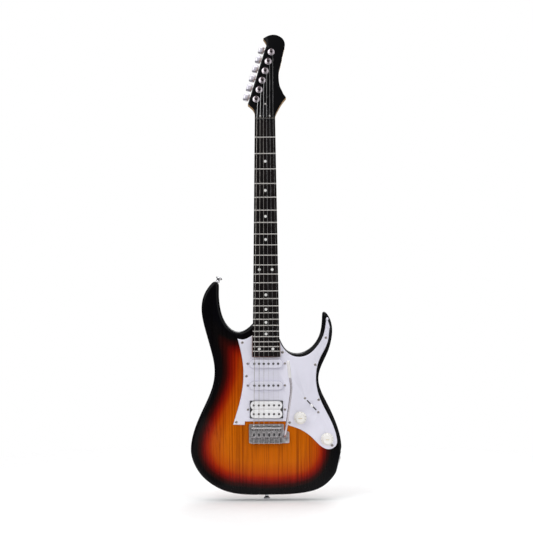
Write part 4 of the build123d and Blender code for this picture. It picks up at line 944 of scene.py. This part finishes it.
# ---------------------------------------------------------------- tuner keys
TUNERS = 6
TUNER_PITCH = 22.0
TUNER_LEAN = math.radians(17.0)  # of the row of posts, from the neck's direction
FIRST_POST = (-18.3, 40.8)  # across and along the head's face
BUTTON_SIDE = math.radians(163.0)  # from X, across the head
WORM_SHIFT = -5.2  # from the post, along the head
WORM_DEPTH = -20.5  # from the head's face
SHAFT_PROFILE = (
    (0, -4.4), (1.2, -4.4), (1.6, -4.0), (1.6, 8.9), (1.95, 9.2), (1.95, 15.8), (2.7, 15.8),
    (3.0, 16.1), (3.0, 17.1), (2.7, 17.4), (2.2, 17.4), (2.2, 18.5), (0, 18.5),
)
BUTTON_MIDDLE = 23.4
BUTTON_HALF = (4.3, 8.7, 6.0)  # thick, tall and along the shaft
BUTTON_RINGS = 14
BUTTON_SIDES = 36
OVAL = 2.35  # power of the button's cross-section; 2 is an ellipse


def tuner_matrix(i):
    """Tuner i's own axes: x to the button, y to the nut, z out of the head's face."""
    across = Vector((1, 0, 0))
    along = head_normal.cross(across)
    x = across * math.cos(BUTTON_SIDE) + along * math.sin(BUTTON_SIDE)
    y = head_normal.cross(x)
    place = Matrix((x, y, head_normal)).transposed().to_4x4()
    post_across = FIRST_POST[0] + i * TUNER_PITCH * math.sin(TUNER_LEAN)
    post_along = FIRST_POST[1] + i * TUNER_PITCH * math.cos(TUNER_LEAN)
    place.translation = head_origin + (across * post_across + along * post_along) * MM
    return place


def button_swell(s):
    """How full the button is at s, from -1 at its shaft end to 1 at its outer end."""
    round_end = (1 - abs(s) ** 3.2) ** (1 / 3.2)
    square_end = (1 - abs(s) ** 9) ** (1 / 9)
    return round_end * 0.34 + 0.66 * square_end


def key_mesh(i):
    """Worm, shaft, collar and a cushion-shaped button."""
    bm = bmesh.new()
    worm = Matrix.Translation((0, WORM_SHIFT * MM, WORM_DEPTH * MM))
    axis = tuner_matrix(i) @ worm @ Matrix.Rotation(math.pi / 2, 4, "Y")
    lathe(bm, axis, SHAFT_PROFILE, sides=28)
    thick, tall, long = BUTTON_HALF
    rings = []
    for k in range(1, BUTTON_RINGS):
        s = -math.cos(math.pi * k / BUTTON_RINGS)
        swell = button_swell(s)
        ring = []
        for q in range(BUTTON_SIDES):
            angle = 2 * math.pi * q / BUTTON_SIDES
            c, d = math.cos(angle), math.sin(angle)
            reach = (abs(c) ** OVAL + abs(d) ** OVAL) ** (-1 / OVAL) * swell * MM
            point = Vector((thick * c * reach, tall * d * reach, (BUTTON_MIDDLE + long * s) * MM))
            ring.append(bm.verts.new(axis @ point))
        rings.append(ring)
    for a, b in zip(rings, rings[1:]):
        for q in range(BUTTON_SIDES):
            r = (q + 1) % BUTTON_SIDES
            bm.faces.new((a[q], a[r], b[r], b[q]))
    bm.faces.new(rings[0])
    bm.faces.new(rings[-1])
    return from_bmesh(f"key_{i + 1}", bm, (KEY_METAL,), angle=48)


for i in range(TUNERS):
    key = key_mesh(i)
    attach(key, f"key_{i + 1}")
    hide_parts(f"tuner_key_{i + 1}")

# ---------------------------------------------------------------- knobs
KNOBS = (("volume", 71.0, 162.5), ("tone", 127.6, 117.5))  # body, x and z of the shaft
KNOB_LOW = 3.2  # of the skirt over the body's face
KNOB_PROFILE = (
    (9.0, 0.0), (13.2, 0.0), (13.4, 0.3), (13.4, 1.0), (13.1, 1.4), (10.3, 3.5), (9.9, 4.0), (9.7, 4.8),
    (9.5, 5.2), (9.1, 13.6), (8.9, 14.5), (8.3, 15.1), (7.7, 15.25), (7.3, 15.0), (0, 15.0),
)
FLUTES = 24
FLUTE_DEPTH = 0.3
FLUTES_LOW = 5.0
FLUTES_HIGH = 14.0
DIAL_NUMBERS = 10
DIAL_START = 225  # degrees from X to the first number
DIAL_STEP = 30
DIAL_SIZE = 3.1
DIAL_RADIUS = 11.75
DIAL_HEIGHT = 2.42
DIAL_SLOPE = math.radians(-36.9)  # as the skirt
INK_HEIGHT = 0.05
BARS = 3
BAR_SIZE = (1.7, 1.5, 0.1)
BAR_PITCH = 2.6
BAR_HEIGHT = 15.03


def knob_flute(angle, z):
    """Depth of the knob's flutes, which stop below its top and above its skirt."""
    if not FLUTES_LOW < z < FLUTES_HIGH:
        return 0.0
    return FLUTE_DEPTH * (0.5 - 0.5 * math.cos(FLUTES * angle)) ** 2


def knob_mesh(name, hub):
    """Skirted, fluted knob with a shallow dish in its top, standing for a CAD node."""
    bm = bmesh.new()
    lathe(bm, hub, KNOB_PROFILE, sides=144, flute=knob_flute)
    obj = from_bmesh(name + "_v", bm, (CREAM,), angle=30)
    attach(obj, nodes[name]["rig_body"])
    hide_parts(name)


def lettering(name, words, size, matrix, material, body):
    """Raised printed characters, as a mesh."""
    curve = bpy.data.curves.new(name, "FONT")
    curve.body = words
    curve.size = size * MM
    curve.extrude = INK_HEIGHT * MM
    curve.align_x = "CENTER"
    curve.align_y = "CENTER"
    source = link(name + "_c", curve)
    bpy.context.view_layer.update()
    result = source.evaluated_get(bpy.context.evaluated_depsgraph_get())
    mesh = bpy.data.meshes.new_from_object(result)
    bpy.data.objects.remove(source)
    mesh.transform(matrix)
    put(mesh, material)
    obj = link(name, mesh)
    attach(obj, body)


def gold_bar(name, matrix, body):
    """One of the plain bars in the place of lettering on a knob's top."""
    bm = bmesh.new()
    size = Matrix.Diagonal((*(side * MM for side in BAR_SIZE), 1))
    bmesh.ops.create_cube(bm, size=1.0, matrix=matrix @ size)
    piece = from_bmesh(name, bm, (GOLD_INK,))
    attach(piece, body)


for body, shaft_x, shaft_z in KNOBS:
    hub = Matrix.Translation((shaft_x * MM, (FRONT - KNOB_LOW) * MM, shaft_z * MM))
    hub = hub @ Matrix.Rotation(math.pi / 2, 4, "X")
    knob_mesh(f"{body}_knob", hub)
    for k in range(DIAL_NUMBERS):
        angle = math.radians(DIAL_START - DIAL_STEP * k)
        spoke = hub @ Matrix.Rotation(angle - math.pi / 2, 4, "Z")
        outward = spoke @ Matrix.Translation((0, DIAL_RADIUS * MM, DIAL_HEIGHT * MM))
        place = outward @ Matrix.Rotation(DIAL_SLOPE, 4, "X")
        lettering(f"{body}_{k + 1}", str(k + 1), DIAL_SIZE, place, DIAL_INK, body)
    for k in range(BARS):
        place = hub @ Matrix.Translation(((k - 1) * BAR_PITCH * MM, 0, BAR_HEIGHT * MM))
        gold_bar(f"{body}_bar_{k + 1}", place, body)

# ---------------------------------------------------------------- floor
FLOOR_HALF = 1.2  # metres


def build_floor():
    """White floor that fades out away from the guitar."""
    material, tree, bsdf = new_material("floor")
    white = ramp(tree, noise(tree, 40), ((0.3, (0.965, 0.965, 0.965)), (0.7, (0.985, 0.985, 0.985))))
    tree.links.new(white, bsdf.inputs["Base Color"])
    bsdf.inputs["Roughness"].default_value = 0.6
    bsdf.inputs["Specular IOR Level"].default_value = 0.1
    spot = node(tree, "ShaderNodeTexCoord")
    reach = node(tree, "ShaderNodeVectorMath", operation="LENGTH")
    tree.links.new(spot.outputs["Object"], reach.inputs[0])
    fade = spread(tree, reach.outputs["Value"], 1.0, 0.0, start=0.3, end=1.1)
    tree.links.new(fade, bsdf.inputs["Alpha"])
    level = CAD_BOUNDS[0].z - 0.001
    corners = [(x * FLOOR_HALF, z * FLOOR_HALF, level) for x, z in ((-1, -1), (1, -1), (1, 1), (-1, 1))]
    mesh = bpy.data.meshes.new("floor")
    mesh.from_pydata(corners, [], [(0, 1, 2, 3)])
    put(mesh, material)
    floor = link("floor", mesh)


build_floor()


# ---------------------------------------------------------------- world and lights
def build_world():
    """White to the camera, and to the guitar a grey studio with a dark horizon for chrome to mirror."""
    world = bpy.data.worlds.new("studio")
    bpy.context.scene.world = world
    world.use_nodes = True
    tree = world.node_tree
    backdrop = tree.nodes["Background"]
    backdrop.inputs["Color"].default_value = (1.0, 1.0, 1.0, 1.0)
    backdrop.inputs["Strength"].default_value = 1.0
    studio = node(tree, "ShaderNodeBackground")
    direction = node(tree, "ShaderNodeTexCoord")
    parts = node(tree, "ShaderNodeSeparateXYZ")
    tree.links.new(direction.outputs["Generated"], parts.inputs[0])
    height = spread(tree, parts.outputs["Z"], 0.0, 1.0, start=-1.0, end=1.0)
    tones = (
        (0.0, (0.3, 0.3, 0.3)),
        (0.42, (0.1, 0.1, 0.1)),
        (0.48, (0.01, 0.01, 0.01)),
        (0.53, (0.01, 0.01, 0.01)),
        (0.62, (0.34, 0.34, 0.35)),
        (1.0, (0.5, 0.5, 0.5)),
    )
    tree.links.new(ramp(tree, height, tones), studio.inputs["Color"])
    sight = node(tree, "ShaderNodeLightPath")
    both = node(tree, "ShaderNodeMixShader")
    tree.links.new(sight.outputs["Is Camera Ray"], both.inputs[0])
    tree.links.new(studio.outputs[0], both.inputs[1])
    tree.links.new(backdrop.outputs[0], both.inputs[2])
    tree.links.new(both.outputs[0], tree.nodes["World Output"].inputs["Surface"])


build_world()


def light(name, width, height, power, place, aim):
    """Rectangular lamp at a place, facing a point; metres and watts."""
    data = bpy.data.lights.new(name, "AREA")
    data.energy = power
    data.shape = "RECTANGLE"
    data.size = width
    data.size_y = height
    obj = link(name, data)
    obj.location = place
    obj.rotation_mode = "QUATERNION"
    obj.rotation_quaternion = (Vector(aim) - Vector(place)).to_track_quat("-Z", "Y")


light("key", width=2.2, height=2.6, power=40, place=(-1.6, -2.0, 1.9), aim=(0, 0, 0.4))
light("fill", width=2.4, height=2.6, power=24, place=(1.9, -1.8, 0.9), aim=(0, 0, 0.4))
light("rear", width=1.4, height=1.4, power=20, place=(0.4, 2.2, 1.6), aim=(0, 0, 0.5))
light("top", width=2.2, height=2.2, power=30, place=(0.0, 0.0, 2.6), aim=(0, 0, 0))

bpy.context.scene.view_settings.view_transform = "Standard"

# ---------------------------------------------------------------- camera
camera = bpy.data.cameras.new("camera")
camera.lens = 112.5
camera.sensor_width = 36
eye = link("camera", camera)
eye.location = (0.0017, -3.53, 0.4815)
eye.rotation_euler = (math.radians(90), math.radians(0.29), 0)
bpy.context.scene.camera = eye
